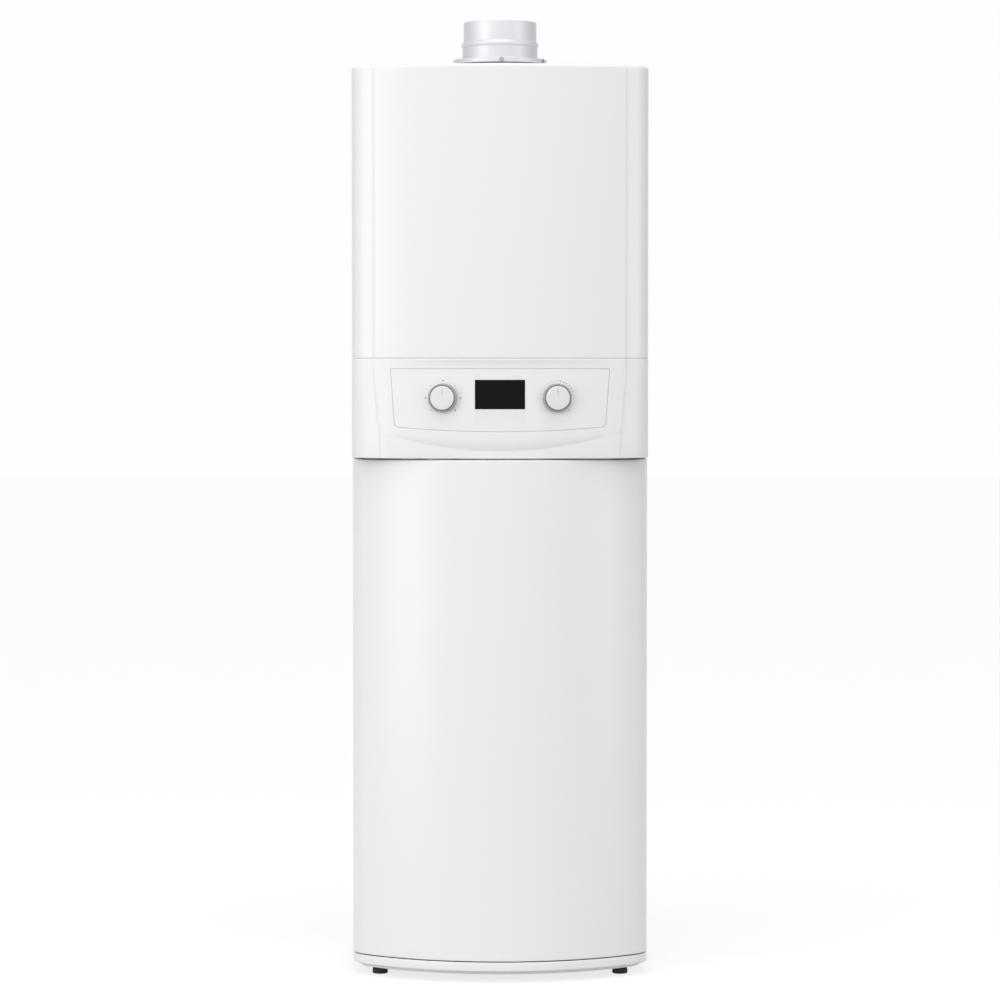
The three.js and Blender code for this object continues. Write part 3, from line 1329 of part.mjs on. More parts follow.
/** The vessel's flat drum at an inset from its outer skin. */
function vesselForm(inset) {
  const [radius, depth, dish] = [VESSEL_RADIUS - inset, VESSEL_DEPTH, VESSEL_DISH];
  const rim = inset > 0 ? 0 : VESSEL_LIP;
  return turned(
    [
      [0, inset],
      [0.6 * radius, inset + 3],
      [radius - dish, inset + 9],
      [radius, inset + 9 + dish],
      [radius, depth / 2 - VESSEL_RIM],
      [radius + rim, depth / 2 - VESSEL_RIM],
      [radius + rim, depth / 2 + VESSEL_RIM],
      [radius, depth / 2 + VESSEL_RIM],
      [radius, depth - inset - dish - 9],
      [radius - dish, depth - inset],
      [0, depth - inset],
    ].filter(([r], i) => rim > 0 || i < 4 || i > 7 || r < radius),
    vec(0, VESSEL_Y, VESSEL_Z),
    "y",
    ROUND,
  );
}

/** The expansion vessel: two pressed halves with a rolled rim, hollow, its connection below. */
function expansionVessel() {
  const y = VESSEL_Y + VESSEL_DEPTH / 2;
  const foot = VESSEL_Z - VESSEL_RADIUS - VESSEL_NOZZLE;
  const inside = VESSEL_Z - VESSEL_RADIUS + 12;
  const nozzle = bar(10, vec(0, y, foot), vec(0, y, VESSEL_Z - VESSEL_RADIUS + 4), 12);
  const bore = bar(6, vec(0, y, foot - 1), vec(0, y, inside), 12);
  return cut(join(vesselForm(0), nozzle), vesselForm(VESSEL_WALL), bore);
}

piece("expansion_vessel", expansionVessel(), "redEnamel");

// --- Pump and diverter, in the plane of the exchanger's water bosses -------------------------

const CROSS_LIFT = 4.45; // level runs above the middle between the ports and the exchanger
const WATER_Y = EXCHANGER_MIDDLE_Y;
const PUMP_X = STUBS.heating_return.x;
const DIVERTER_X = STUBS.heating_flow.x;
const VALVE_Z = SHELF_TOP + PUMP_RISE;
const PORT_TOP = VALVE_Z + PORT_REACH;
const PORT_FOOT = VALVE_Z - PORT_REACH;
const SIDE_PORT_REACH = 52;
const CROSS_Z = (PORT_TOP + BOSS_FOOT) / 2 + CROSS_LIFT;
const WATER_BEND = 28;

/** Upright ports with nut collars above and below a body at x, and one side port towards the middle. */
function portedBody(x) {
  const inwards = -Math.sign(x);
  const at = (dx, dz) => vec(x + dx, WATER_Y, VALVE_Z + dz);
  const collarLength = 14;
  return join(
    bar(PORT_RADIUS - 4, at(0, -PORT_REACH), at(0, PORT_REACH), 16),
    bar(PORT_RADIUS, at(0, PORT_REACH - collarLength), at(0, PORT_REACH), 6),
    bar(PORT_RADIUS, at(0, -PORT_REACH), at(0, collarLength - PORT_REACH), 6),
    bar(PORT_RADIUS - 4, at(0, 0), at(inwards * SIDE_PORT_REACH, 0), 16),
    bar(PORT_RADIUS, at(inwards * (SIDE_PORT_REACH - collarLength), 0), at(inwards * SIDE_PORT_REACH, 0), 6),
  );
}

const pumpFront = WATER_Y - PUMP_DEPTH / 2;
const pumpBody = join(
  bar(PUMP_RADIUS, vec(PUMP_X, pumpFront, VALVE_Z), vec(PUMP_X, pumpFront + PUMP_DEPTH, VALVE_Z), ROUND),
  portedBody(PUMP_X),
);
piece("pump_body", pumpBody, "brass");

const pumpMotor = join(
  turned(
    [
      [0, 0],
      [MOTOR_RADIUS - 14, 0],
      [MOTOR_RADIUS - 10, 4],
      [MOTOR_RADIUS, 10],
      [MOTOR_RADIUS, MOTOR_LENGTH - 10],
      [MOTOR_RADIUS - 6, MOTOR_LENGTH],
      [0, MOTOR_LENGTH],
    ],
    vec(PUMP_X, pumpFront - SEAT - MOTOR_LENGTH, VALVE_Z),
    "y",
  ),
  block(
    PUMP_X - 26,
    PUMP_X + 26,
    pumpFront - MOTOR_LENGTH + 6,
    pumpFront - 14,
    VALVE_Z - MOTOR_RADIUS - 12,
    VALVE_Z - MOTOR_RADIUS + 12,
  ),
);
piece("pump_motor", pumpMotor, "blackPlastic");

const VALVE_HALF = 22;
const valveFront = WATER_Y - VALVE_HALF;
const DRAIN_X = DIVERTER_X - VALVE_HALF;
const diverterValve = join(
  block(DRAIN_X, DIVERTER_X + VALVE_HALF, valveFront, WATER_Y + VALVE_HALF, VALVE_Z - 30, VALVE_Z + 30),
  portedBody(DIVERTER_X),
  bar(18, vec(DIVERTER_X, valveFront - 8, VALVE_Z), vec(DIVERTER_X, valveFront + 1, VALVE_Z), 16),
);
piece("diverter_valve", diverterValve, "brass");

const actuatorBack = valveFront - 8 - SEAT;
const actuator = join(
  drawBack(roundedRectangle(DIVERTER_X, VALVE_Z, 50, 66, 8), actuatorBack - 44, actuatorBack, 4),
  drawBack(roundedRectangle(DIVERTER_X, VALVE_Z + 16, 30, 24, 4), actuatorBack - 52, actuatorBack - 43, 4),
);
piece("diverter_actuator", actuator, "blackPlastic");

const reliefEnd = DRAIN_X - SEAT - 24;
const reliefZ = VALVE_Z + 8;
const safetyValve = join(
  bar(9, vec(DRAIN_X - SEAT, WATER_Y, reliefZ), vec(reliefEnd, WATER_Y, reliefZ), 16),
  bar(13, vec(DRAIN_X - SEAT - 4, WATER_Y, reliefZ), vec(DRAIN_X - SEAT - 12, WATER_Y, reliefZ), 6),
  bar(7, vec(DRAIN_X - SEAT - 16, WATER_Y, reliefZ), vec(DRAIN_X - SEAT - 16, WATER_Y, reliefZ - 24), 14),
);
piece("safety_valve", safetyValve, "brass");

const RELIEF_KNOB_RADIUS = 13;
const RELIEF_KNOB_LENGTH = 17;
/** The relief knob: a grooved cap on the end of the safety valve. */
function reliefKnob() {
  const end = reliefEnd - SEAT;
  const knob = bar(RELIEF_KNOB_RADIUS, vec(end, 0, 0), vec(end - RELIEF_KNOB_LENGTH, 0, 0), 24, 11.5);
  const grooves = [];
  for (let i = 0; i < 6; i += 1) {
    const angle = (Math.PI * i) / 3;
    const [y, z] = [13.5 * Math.cos(angle), 13.5 * Math.sin(angle)];
    grooves.push(bar(2.5, vec(end - 3, y, z), vec(end - RELIEF_KNOB_LENGTH - 1, y, z), 8));
  }
  return cut(knob, ...grooves);
}
piece("safety_valve_knob", reliefKnob(), "redEnamel").position.set(0, WATER_Y, reliefZ);

// --- Condensate trap -------------------------------------------------------------------------

const TRAP_RADIUS = 28;
const TRAP_DROP = 18; // its shoulder below the exchanger's sump
const TRAP_HEIGHT = 107.1;
const TRAP_NECK_RADIUS = 13;
const TRAP_NUT = 4; // the cup nut stands this far out
const TRAP_NUT_DROP = 24;
const DRAIN_RISE = 16;
const DRAIN_BEND = 22;
const DRAIN_MOUTH = 18;
const TRAP_TOP = SUMP_FOOT - TRAP_DROP;
const TRAP_FOOT = TRAP_TOP - TRAP_HEIGHT;
const TRAP_DRAIN_Y = EXCHANGER_BACK - 2;

/** The condensate trap: a screw-cupped siphon under the exchanger, with its drain to the back. */
function condensateTrap() {
  const cup = turned(
    [
      [0, TRAP_FOOT],
      [TRAP_RADIUS - TRAP_NUT, TRAP_FOOT],
      [TRAP_RADIUS, TRAP_FOOT + 2 * TRAP_NUT],
      [TRAP_RADIUS, TRAP_TOP - TRAP_NUT_DROP - 2],
      [TRAP_RADIUS + TRAP_NUT, TRAP_TOP - TRAP_NUT_DROP],
      [TRAP_RADIUS + TRAP_NUT, TRAP_TOP - 2 * TRAP_NUT],
      [TRAP_RADIUS - 6, TRAP_TOP],
      [TRAP_NECK_RADIUS, TRAP_TOP + 2],
      [TRAP_NECK_RADIUS, SUMP_FOOT - SEAT],
      [0, SUMP_FOOT - SEAT],
    ],
    vec(EXCHANGER_X, WATER_Y, 0),
    "z",
    20,
  );
  const drainZ = TRAP_FOOT + DRAIN_RISE;
  const route = [
    vec(EXCHANGER_X, WATER_Y + TRAP_RADIUS - 6, drainZ),
    vec(EXCHANGER_X, TRAP_DRAIN_Y, drainZ),
    vec(EXCHANGER_X, TRAP_DRAIN_Y, STUB_Z),
    vec(EXCHANGER_X, REAR_Y, STUB_Z),
  ];
  const end = (y) => vec(EXCHANGER_X, y, STUB_Z);
  const mouth = bar(PIPE_RADIUS - 2, end(REAR_Y - DRAIN_MOUTH), end(REAR_Y + 1), 12);
  return cut(join(cup, pipe(route, PIPE_RADIUS, DRAIN_BEND)), mouth);
}
piece("condensate_trap", condensateTrap(), "greyPlastic");

// --- Gas valve -------------------------------------------------------------------------------

const GAS_X = HALF_WIDTH - 45;
const GAS_Y = FAN_BACK + 35;
const GAS_HEIGHT = 78;
const GAS_DROP = 151.1; // its top below the fan's axis
const GAS_CROSS_RISE = 40; // level run to the venturi, above the valve
const GAS_RUN_DROP = 32; // level run from the back, below the valve
const GAS_PIPE_BEND = 16;
const GAS_TOP = FAN_Z - GAS_DROP;
const GAS_FOOT = GAS_TOP - GAS_HEIGHT;
const gasValve = join(
  block(GAS_X - 28, GAS_X + 28, GAS_Y - 22, GAS_Y + 22, GAS_FOOT + 10, GAS_TOP - 10),
  block(GAS_X - 24, GAS_X + 4, GAS_Y - 40, GAS_Y - 21, GAS_FOOT + 18, GAS_TOP - 18),
  bar(9, vec(GAS_X + 15, GAS_Y - 34, GAS_FOOT + 36), vec(GAS_X + 15, GAS_Y - 21, GAS_FOOT + 36), 16),
  bar(14, vec(GAS_X, GAS_Y, GAS_FOOT), vec(GAS_X, GAS_Y, GAS_FOOT + 11), 6),
  bar(14, vec(GAS_X, GAS_Y, GAS_TOP - 11), vec(GAS_X, GAS_Y, GAS_TOP), 6),
);
piece("gas_valve", gasValve, "aluminium");

// --- Storage tank ----------------------------------------------------------------------------

const TANK_BASE = LIP_Z + TRAY_FLOOR + SEAT;
const TANK_FOOT = TANK_BASE + TANK_SKIRT;
const TANK_TOP = TANK_FOOT + TANK_HEIGHT;
const NECK_TOP = TANK_TOP + TANK_NECK_HEIGHT;
const TANK_FLANGE_TOP = NECK_TOP + SEAT + TANK_FLANGE_THICKNESS;
const TANK_BOSS_RADIUS = 16;
const SKIRT_RADIUS = 0.85 * TANK_RADIUS;
const DOME_STEPS = 3;

/** Points of a dished end from its middle, or from the neck, out to the shell. */
function domeProfile(innerRadius, radius, crownZ, rise) {
  const points = [];
  for (let i = 0; i <= DOME_STEPS; i += 1) {
    const start = Math.asin(innerRadius / radius);
    const angle = start + ((Math.PI / 2 - start) * i) / DOME_STEPS;
    points.push([radius * Math.sin(angle), crownZ + rise * (1 - Math.cos(angle))]);
  }
  return points;
}

/** The storage tank: a shell with dished ends, a skirt, an open neck and two water bosses. */
function storageTank() {
  const [radius, wall] = [TANK_RADIUS, TANK_WALL];
  const neck = TANK_NECK_RADIUS;
  const upper = domeProfile(neck, radius, TANK_TOP, -TANK_DOME).reverse();
  const innerUpper = domeProfile(neck - wall, radius - wall, TANK_TOP - wall, wall - TANK_DOME);
  const innerLower = domeProfile(0, radius - wall, TANK_FOOT + wall, TANK_DOME - wall).reverse();
  const shell = turned(
    [
      ...domeProfile(0, radius, TANK_FOOT, TANK_DOME),
      ...upper,
      [neck, NECK_TOP],
      [neck - wall, NECK_TOP],
      ...innerUpper,
      ...innerLower,
    ],
    vec(0, TANK_Y, 0),
    "z",
    ROUND,
  );
  const skirt = turned(
    [
      [SKIRT_RADIUS - wall, TANK_BASE],
      [SKIRT_RADIUS, TANK_BASE],
      [SKIRT_RADIUS, TANK_FOOT + TANK_DOME / 2],
      [SKIRT_RADIUS - wall, TANK_FOOT + TANK_DOME / 2],
      [SKIRT_RADIUS - wall, TANK_BASE],
    ],
    vec(0, TANK_Y, 0),
    "z",
    ROUND,
  );
  const bosses = [TANK_PORTS.cold_inlet, TANK_PORTS.hot_outlet].map(({ x, y }) =>
    bar(TANK_BOSS_RADIUS, vec(x, y, TANK_TOP - 0.75 * TANK_DOME), vec(x, y, NECK_TOP), 16),
  );
  return join(shell, skirt, ...bosses);
}
piece("storage_tank", storageTank(), "blueEnamel");

/** Half of the tank's foam jacket, holed for the neck and the water bosses. */
function insulationHalf(side) {
  const outerRadius = TANK_RADIUS + INSULATION_THICKNESS;
  const axis = (z) => vec(0, TANK_Y, z);
  const lidZ = TANK_TOP + 2 * SEAT;
  const lidTop = NECK_TOP - SEAT;
  const jacket = bar(outerRadius, axis(TANK_BASE), axis(lidTop), ROUND);
  const hollow = bar(TANK_RADIUS + 3 * SEAT, axis(TANK_BASE - 1), axis(lidZ), ROUND);
  const neckHole = bar(TANK_NECK_RADIUS + 2, axis(lidZ - 1), axis(lidTop + 1), ROUND);
  const bossHoles = [TANK_PORTS.cold_inlet, TANK_PORTS.hot_outlet].map(({ x, y }) =>
    bar(TANK_BOSS_RADIUS + 1, vec(x, y, lidZ - 1), vec(x, y, lidTop + 1), 16),
  );
  const far = outerRadius + 5;
  const [x0, x1] = side > 0 ? [-far, SEAT] : [-SEAT, far];
  const otherHalf = block(x0, x1, TANK_Y - far, TANK_Y + far, TANK_BASE - 1, lidTop + 1);
  return cut(jacket, hollow, neckHole, ...bossHoles, otherHalf);
}
for (const [name, side] of Object.entries(SIDES)) {
  piece(`tank_insulation_${name}`, insulationHalf(side), "foam");
}

/** The centre line of the heating coil's turns. */
class CoilTurns extends THREE.Curve {
  getPoint(t, target = new THREE.Vector3()) {
    const angle = Math.PI + 2 * Math.PI * COIL_TURNS * t;
    const top = TANK_TOP - TANK_DOME - 2 * COIL_PITCH;
    return target.set(
      COIL_RADIUS * Math.cos(angle),
      TANK_Y + COIL_RADIUS * Math.sin(angle),
      top - COIL_PITCH * COIL_TURNS * t,
    );
  }
}

/** The tank's cover flange with the heating coil and the anode that hang from it. */
function tankFlange() {
  const under = NECK_TOP + SEAT;
  const axis = (z) => vec(0, TANK_Y, z);
  const disc = bar(TANK_FLANGE_RADIUS, axis(under), axis(TANK_FLANGE_TOP), ROUND);
  const section = new THREE.Shape();
  section.absarc(0, 0, COIL_TUBE_RADIUS, 0, 2 * Math.PI);
  const coil = solidOf(
    new THREE.ExtrudeGeometry(section, {
      steps: COIL_TURNS * 12,
      extrudePath: new CoilTurns(),
      curveSegments: 3,
      bevelEnabled: false,
    }),
  );
  const [first, last] = [new CoilTurns().getPoint(0), new CoilTurns().getPoint(1)];
  const leg = (portX, coilEnd, legZ) => {
    const route = [
      vec(portX, TANK_Y, under + 2),
      vec(portX, TANK_Y, legZ),
      vec(-COIL_RADIUS, TANK_Y, legZ),
      coilEnd,
    ];
    return pipe(route, COIL_TUBE_RADIUS, COIL_BEND);
  };
  const flowLeg = leg(-COIL_PORT_X, first, first.z + COIL_LEG);
  const returnLeg = leg(COIL_PORT_X, last, last.z - COIL_LEG);
  const anode = bar(ANODE_RADIUS, axis(under + 1), axis(TANK_TOP - 0.45 * TANK_HEIGHT), 12);
  return join(disc, flowLeg, returnLeg, coil, anode);
}
piece("tank_flange", tankFlange(), "stainless");

// --- Pipes -----------------------------------------------------------------------------------

/** A water or gas pipe from its rear union along a route of corners. */
function stubPipe(stub, corners, bend) {
  const { x, radius } = STUBS[stub];
  const { union, mouth } = rearUnion(x, STUB_Z, radius - 1.5);
  const run = pipe([vec(x, REAR_Y - 4, STUB_Z), ...corners], radius, bend);
  return cut(join(run, union), mouth);
}

for (const stub of ["heating_flow", "heating_return"]) {
  const { x } = STUBS[stub];
  const corners = [vec(x, WATER_Y, STUB_Z), vec(x, WATER_Y, PORT_FOOT - SEAT)];
  piece(`${stub}_pipe`, stubPipe(stub, corners, WATER_BEND), "copper");
}
for (const port of ["hot_outlet", "cold_inlet"]) {
  const { x, y } = TANK_PORTS[port];
  const corners = [vec(x, y, STUB_Z), vec(x, y, NECK_TOP + SEAT)];
  piece(`${port}_pipe`, stubPipe(port, corners, WATER_BEND), "copper");
}

const gasCornerY = EXCHANGER_BACK - 18;
const GAS_RUN_Z = GAS_FOOT - GAS_RUN_DROP;
const gasCorners = [
  vec(0, gasCornerY, STUB_Z),
  vec(0, gasCornerY, GAS_RUN_Z),
  vec(GAS_X, gasCornerY, GAS_RUN_Z),
  vec(GAS_X, GAS_Y, GAS_RUN_Z),
  vec(GAS_X, GAS_Y, GAS_FOOT - SEAT),
];
piece("gas_inlet_pipe", stubPipe("gas_inlet", gasCorners, GAS_PIPE_BEND), "copper");

const venturiY = FAN_Y - SEAT - 0.55 * VENTURI_LENGTH;
const GAS_CROSS_Z = GAS_TOP + GAS_CROSS_RISE;
const gasFanCorners = [
  vec(GAS_X, GAS_Y, GAS_TOP + SEAT),
  vec(GAS_X, GAS_Y, GAS_CROSS_Z),
  vec(GAS_X, venturiY, GAS_CROSS_Z),
  vec(FAN_X, venturiY, GAS_CROSS_Z),
  vec(FAN_X, venturiY, FAN_Z - FAN_INLET_RADIUS - 3 - SEAT),
];
piece("gas_fan_pipe", pipe(gasFanCorners, GAS_PIPE_RADIUS, GAS_PIPE_BEND), "copper");

const bossEnd = BOSS_FOOT - SEAT;
for (const [name, x, side] of [
  ["exchanger_flow_pipe", DIVERTER_X, -1],
  ["exchanger_return_pipe", PUMP_X, 1],
]) {
  const bossX = EXCHANGER_X + side * BOSS_X;
  const corners = [
    vec(x, WATER_Y, PORT_TOP + SEAT),
    vec(x, WATER_Y, CROSS_Z),
    vec(bossX, WATER_Y, CROSS_Z),
    vec(bossX, WATER_Y, bossEnd),
  ];
  piece(name, pipe(corners, PIPE_RADIUS, WATER_BEND), "copper");
}
for (const [name, x, port] of [
  ["coil_flow_pipe", DIVERTER_X, TANK_PORTS.coil_flow],
  ["coil_return_pipe", PUMP_X, TANK_PORTS.coil_return],
]) {
  const portEnd = x - Math.sign(x) * (SIDE_PORT_REACH + SEAT);
  const corners = [
    vec(portEnd, WATER_Y, VALVE_Z),
    vec(port.x, port.y, VALVE_Z),
    vec(port.x, port.y, TANK_FLANGE_TOP + SEAT),
  ];
  piece(name, pipe(corners, PIPE_RADIUS, WATER_BEND), "copper");
}

export default boiler;
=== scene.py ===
# %% [markdown]
# # A floor-standing combi boiler
# A condensing boiler stands on a casing that holds a hot-water tank. Both are boxes of white
# enamelled steel sheet, with a moulded control fascia between them and a concentric flue on
# top.
#
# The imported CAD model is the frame: it fixes the sizes, the bodies and the joints. Its inner
# pieces stay as they are and get finishes. The outer pieces are made of coarse facets there, so
# they are built again here with smooth surfaces, in the same metres and on the same bodies.

# %% Tools and frame
import json
import math

import bmesh
import bpy
from mathutils import Matrix, Vector
from mathutils.bvhtree import BVHTree


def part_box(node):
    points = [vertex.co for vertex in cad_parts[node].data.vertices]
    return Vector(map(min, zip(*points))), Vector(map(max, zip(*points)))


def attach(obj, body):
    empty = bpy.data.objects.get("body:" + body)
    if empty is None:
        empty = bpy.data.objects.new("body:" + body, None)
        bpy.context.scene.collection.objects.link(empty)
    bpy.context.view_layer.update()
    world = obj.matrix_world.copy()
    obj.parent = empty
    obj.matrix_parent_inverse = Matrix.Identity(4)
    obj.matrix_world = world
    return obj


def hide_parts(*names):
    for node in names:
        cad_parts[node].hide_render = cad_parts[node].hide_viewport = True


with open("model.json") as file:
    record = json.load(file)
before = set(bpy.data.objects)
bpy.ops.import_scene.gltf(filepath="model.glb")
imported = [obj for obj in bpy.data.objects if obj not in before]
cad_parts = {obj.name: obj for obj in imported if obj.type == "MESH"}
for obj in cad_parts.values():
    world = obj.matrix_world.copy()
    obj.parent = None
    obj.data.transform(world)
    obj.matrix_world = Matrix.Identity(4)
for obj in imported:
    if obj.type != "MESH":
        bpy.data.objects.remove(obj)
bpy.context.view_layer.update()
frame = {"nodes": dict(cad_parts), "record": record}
scene = bpy.context.scene
print("frame loaded:", len(frame["nodes"]), "nodes")

# %% [markdown]
# ## Sizes
# All sizes are in metres. The front faces -Y and the floor is z = 0. Edges that the CAD model
# knows are read from its boxes. The radii of the bowed sheets can't be read from a box, so they
# are repeated here.

# %% Sizes shared by several pieces
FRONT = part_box("lower_front_panel")[0][1]
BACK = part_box("upper_back_panel")[1][1]
HALF = 0.250  # half the casing's width
SHEET = 0.0015  # steel sheet
FLANGE = 0.018  # folded flanges and rear hems
FACE_RADIUS = 0.572  # bow of the upper casing's middle
COLUMN_A, COLUMN_B = 0.028, 0.056  # a side column's half width and depth
SPREAD = 0.011  # how much wider the fascia's columns are at its foot
CREASE = 0.2114  # from the middle to the crease beside a column
LOWER_RADIUS, CORNER_RADIUS = 0.354, 0.062  # bow and corners of the lower casing
PANEL_RADIUS, PANEL_SET = 0.620, 0.0025  # bow of the control panel, and its place behind the front
FASCIA_Z0, FASCIA_Z1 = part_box("control_fascia")[0][2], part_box("control_fascia")[1][2]
COVER_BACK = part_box("upper_front_cover")[1][1]
LOWER_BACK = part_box("lower_front_panel")[1][1]
FLUE_Y = sum(c[1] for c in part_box("flue_collar")) / 2
KNOB_X, KNOB_Z = 0.095, FASCIA_Z1 - 0.065
print(f"front at y = {FRONT:.4f} m, fascia from {FASCIA_Z0:.4f} to {FASCIA_Z1:.4f} m")

# %% [markdown]
# ## Camera
# Tall appliances are photographed from far away with a long lens, so that upright edges stay
# nearly parallel. The seams show the lens's height: they bow upwards above it and downwards
# below it. A wide lens close by would show the same front, but it would make the sides lean.

# %% Camera
SENSOR_WIDTH = 36.0  # mm
LENS_FACTOR = 3.787  # focal length over sensor width
CAMERA_DISTANCE, CAMERA_HEIGHT = 6.3, 1.028
CAMERA_TILT = 1.985  # degrees below level
camera_data = bpy.data.cameras.new("camera")
camera_data.sensor_width = SENSOR_WIDTH
camera_data.lens = SENSOR_WIDTH * LENS_FACTOR
camera = bpy.data.objects.new("camera", camera_data)
scene.collection.objects.link(camera)
camera.location = (0.0, FRONT - CAMERA_DISTANCE, CAMERA_HEIGHT)
camera.rotation_euler = (math.radians(90.0 - CAMERA_TILT), 0.0, 0.0)
scene.camera = camera
scene.view_settings.view_transform = "Standard"
print(f"camera placed {CAMERA_DISTANCE} m before the front, lens {camera_data.lens:.0f} mm")

# %% [markdown]
# ## Materials
# Colours are picked from a screen or a colour card, so they are written as sRGB hex values.
# Blender computes with linear light, so one function turns them linear. Nodes could be added by
# hand for each material. One helper that adds a node with its settings and links keeps each
# recipe short.


# %% Colours and nodes
def linear(hex_colour, alpha=1.0):
    """An sRGB hex colour as linear RGBA."""
    parts = [int(hex_colour[i : i + 2], 16) / 255 for i in (1, 3, 5)]
    curve = [c / 12.92 if c <= 0.04045 else ((c + 0.055) / 1.055) ** 2.4 for c in parts]
    return (*curve, alpha)


def add_node(tree, kind, links=None, values=None, **settings):
    """Adds a node, sets its attributes and inputs, and links other sockets into it."""
    node = tree.nodes.new(kind)
    for key, value in settings.items():
        setattr(node, key, value)
    for key, value in (values or {}).items():
        node.inputs[key].default_value = value
    for key, socket in (links or {}).items():
        tree.links.new(socket, node.inputs[key])
    return node


def new_material(name, hex_colour, roughness, **sockets):
    """A material with one Principled shader whose uniform values sit on its sockets."""
    material = bpy.data.materials.new(name)
    material.use_nodes = True
    shader = material.node_tree.nodes["Principled BSDF"]
    shader.inputs["Base Color"].default_value = linear(hex_colour)
    shader.inputs["Roughness"].default_value = roughness
    for key, value in sockets.items():
        shader.inputs[key.replace("_", " ")].default_value = value
    material.diffuse_color = linear(hex_colour)
    return material, material.node_tree, shader


print("colour and node helpers ready")


# %% Patterns
def per_metre(size_mm):
    """The scale of a pattern whose features are size_mm wide: how many lie in a metre."""
    return round(1000 / size_mm)


def bump(tree, shader, height, distance, strength=1.0):
    """Feeds a height into the shader's normal."""
    node = add_node(
        tree, "ShaderNodeBump", {"Height": height}, {"Distance": distance, "Strength": strength}
    )
    tree.links.new(node.outputs["Normal"], shader.inputs["Normal"])


def noise(tree, size_mm, detail=2.0, stretch=None):
    """Noise in the object's own metres, made finer along an axis by stretch."""
    place = add_node(tree, "ShaderNodeTexCoord").outputs["Object"]
    if stretch:
        place = add_node(
            tree, "ShaderNodeMapping", {"Vector": place}, {"Scale": stretch}
        ).outputs["Vector"]
    return add_node(
        tree,
        "ShaderNodeTexNoise",
        {"Vector": place},
        {"Scale": per_metre(size_mm), "Detail": detail},
    )


def crystals(tree, size_mm):
    """Voronoi cells in the object's own metres."""
    place = add_node(tree, "ShaderNodeTexCoord").outputs["Object"]
    return add_node(
        tree, "ShaderNodeTexVoronoi", {"Vector": place}, {"Scale": per_metre(size_mm)}
    )


def vary(tree, shader, socket, factor, low, high):
    """Maps a 0..1 factor to a range of values on one of the shader's sockets."""
    node = add_node(
        tree, "ShaderNodeMapRange", {"Value": factor}, {"To Min": low, "To Max": high}
    )
    tree.links.new(node.outputs["Result"], shader.inputs[socket])


def mix_colours(tree, shader, factor, hex_a, hex_b):
    """Blends two colours into the shader's base colour."""
    node = add_node(tree, "ShaderNodeMix", data_type="RGBA")
    node.inputs["A"].default_value = linear(hex_a)
    node.inputs["B"].default_value = linear(hex_b)
    tree.links.new(factor, node.inputs["Factor"])
    tree.links.new(node.outputs["Result"], shader.inputs["Base Color"])


print("pattern helpers ready")

# %% [markdown]
# ## Paints and plastics
# The casing is steel sheet, sprayed with white stove enamel and baked. Such a coat is smooth
# but not flat: it keeps an orange peel, whose waves are about 3 mm wide and some hundredths of
# a millimetre high. It softens the edges of reflections. The fascia, the panel and the knobs
# are moulded ABS in the same white, with the fine grain of the spark-eroded mould. That grain
# is about 0.1 mm wide and too fine for the render, so it is drawn 0.7 mm wide and very shallow.
# A flat colour alone would look like paper.


# %% Paint recipes
def painted(name, hex_colour, roughness, peel=0.00002):
    """Stove enamel: a smooth coat with a faint orange peel."""
    material, tree, shader = new_material(
        name, hex_colour, roughness, IOR=1.5, Coat_Weight=0.25, Coat_Roughness=0.2
    )
    wave = noise(tree, 3.125, 1.0)
    bump(tree, shader, wave.outputs["Fac"], peel)
    cloud = noise(tree, 111.0)
    vary(tree, shader, "Roughness", cloud.outputs["Fac"], roughness - 0.04, roughness + 0.04)
    return material


def silvered(name, hex_colour, roughness):
    """Aluminium paint: flakes under a clear coat, drawn 0.4 mm wide so that they show."""
    material, tree, shader = new_material(
        name, hex_colour, roughness, Metallic=0.35, Coat_Weight=0.2, Coat_Roughness=0.3
    )
    flakes = noise(tree, 0.3846, 1.0)
    vary(tree, shader, "Roughness", flakes.outputs["Fac"], roughness - 0.05, roughness + 0.05)
    bump(tree, shader, flakes.outputs["Fac"], 0.00001)
    return material


def moulded(name, hex_colour, roughness, grain=0.00003):
    """Moulded plastic with a fine spark-eroded grain, or none for printed ink."""
    material, tree, shader = new_material(name, hex_colour, roughness, IOR=1.5)
    bump(tree, shader, noise(tree, 0.7143, 3.0).outputs["Fac"], grain)
    return material


print("paint and plastic recipes ready")

# %% Paints
WHITE_ENAMEL = painted("white stove enamel", "#ECEEF0", 0.32)  # cool white, wide soft highlights
RED_ENAMEL = painted("red stove enamel", "#A8261F", 0.35)  # the expansion vessel
BLUE_ENAMEL = painted("blue vitreous enamel", "#2F4F78", 0.3)  # the tank's glassy coat
FLUE_PAINT = silvered("silver flue paint", "#DBDCDF", 0.46)  # paler than bare metal, half as shiny
print("paints ready")

# %% Plastics, rubber, ceramic and inks
WHITE_PLASTIC = moulded("white ABS", "#ECEEF0", 0.34, 0.00001)  # matched to the enamel
KNOB_PLASTIC = moulded("white ABS, gloss", "#E4E6E8", 0.3, 0.000005)  # a shade below the panel
RING_GREY = moulded("grey ABS ring", "#A0A2A4", 0.4, 0.00001)  # sets the white knob off
GREY_PLASTIC = moulded("grey polypropylene", "#A4A6A6", 0.5)  # waxy and dull
BLACK_PLASTIC = moulded("black nylon", "#202122", 0.5)  # motors and plugs, never quite black
RUBBER = moulded("black rubber", "#2B2B2B", 0.8, 0.00008)  # no highlight, coarse skin
RED_PLASTIC = moulded("red ABS", "#B3251C", 0.4)  # the safety valve's knob
BOARD_GREEN = moulded("green solder resist", "#1F5B3C", 0.35)  # a thin wet-looking lacquer
CERAMIC = moulded("glazed alumina", "#E9E6DD", 0.25, 0.000005)  # warm white, small highlights
POINTER_GREY = moulded("pale grey marking ink", "#BFC1C3", 0.5, 0.0)
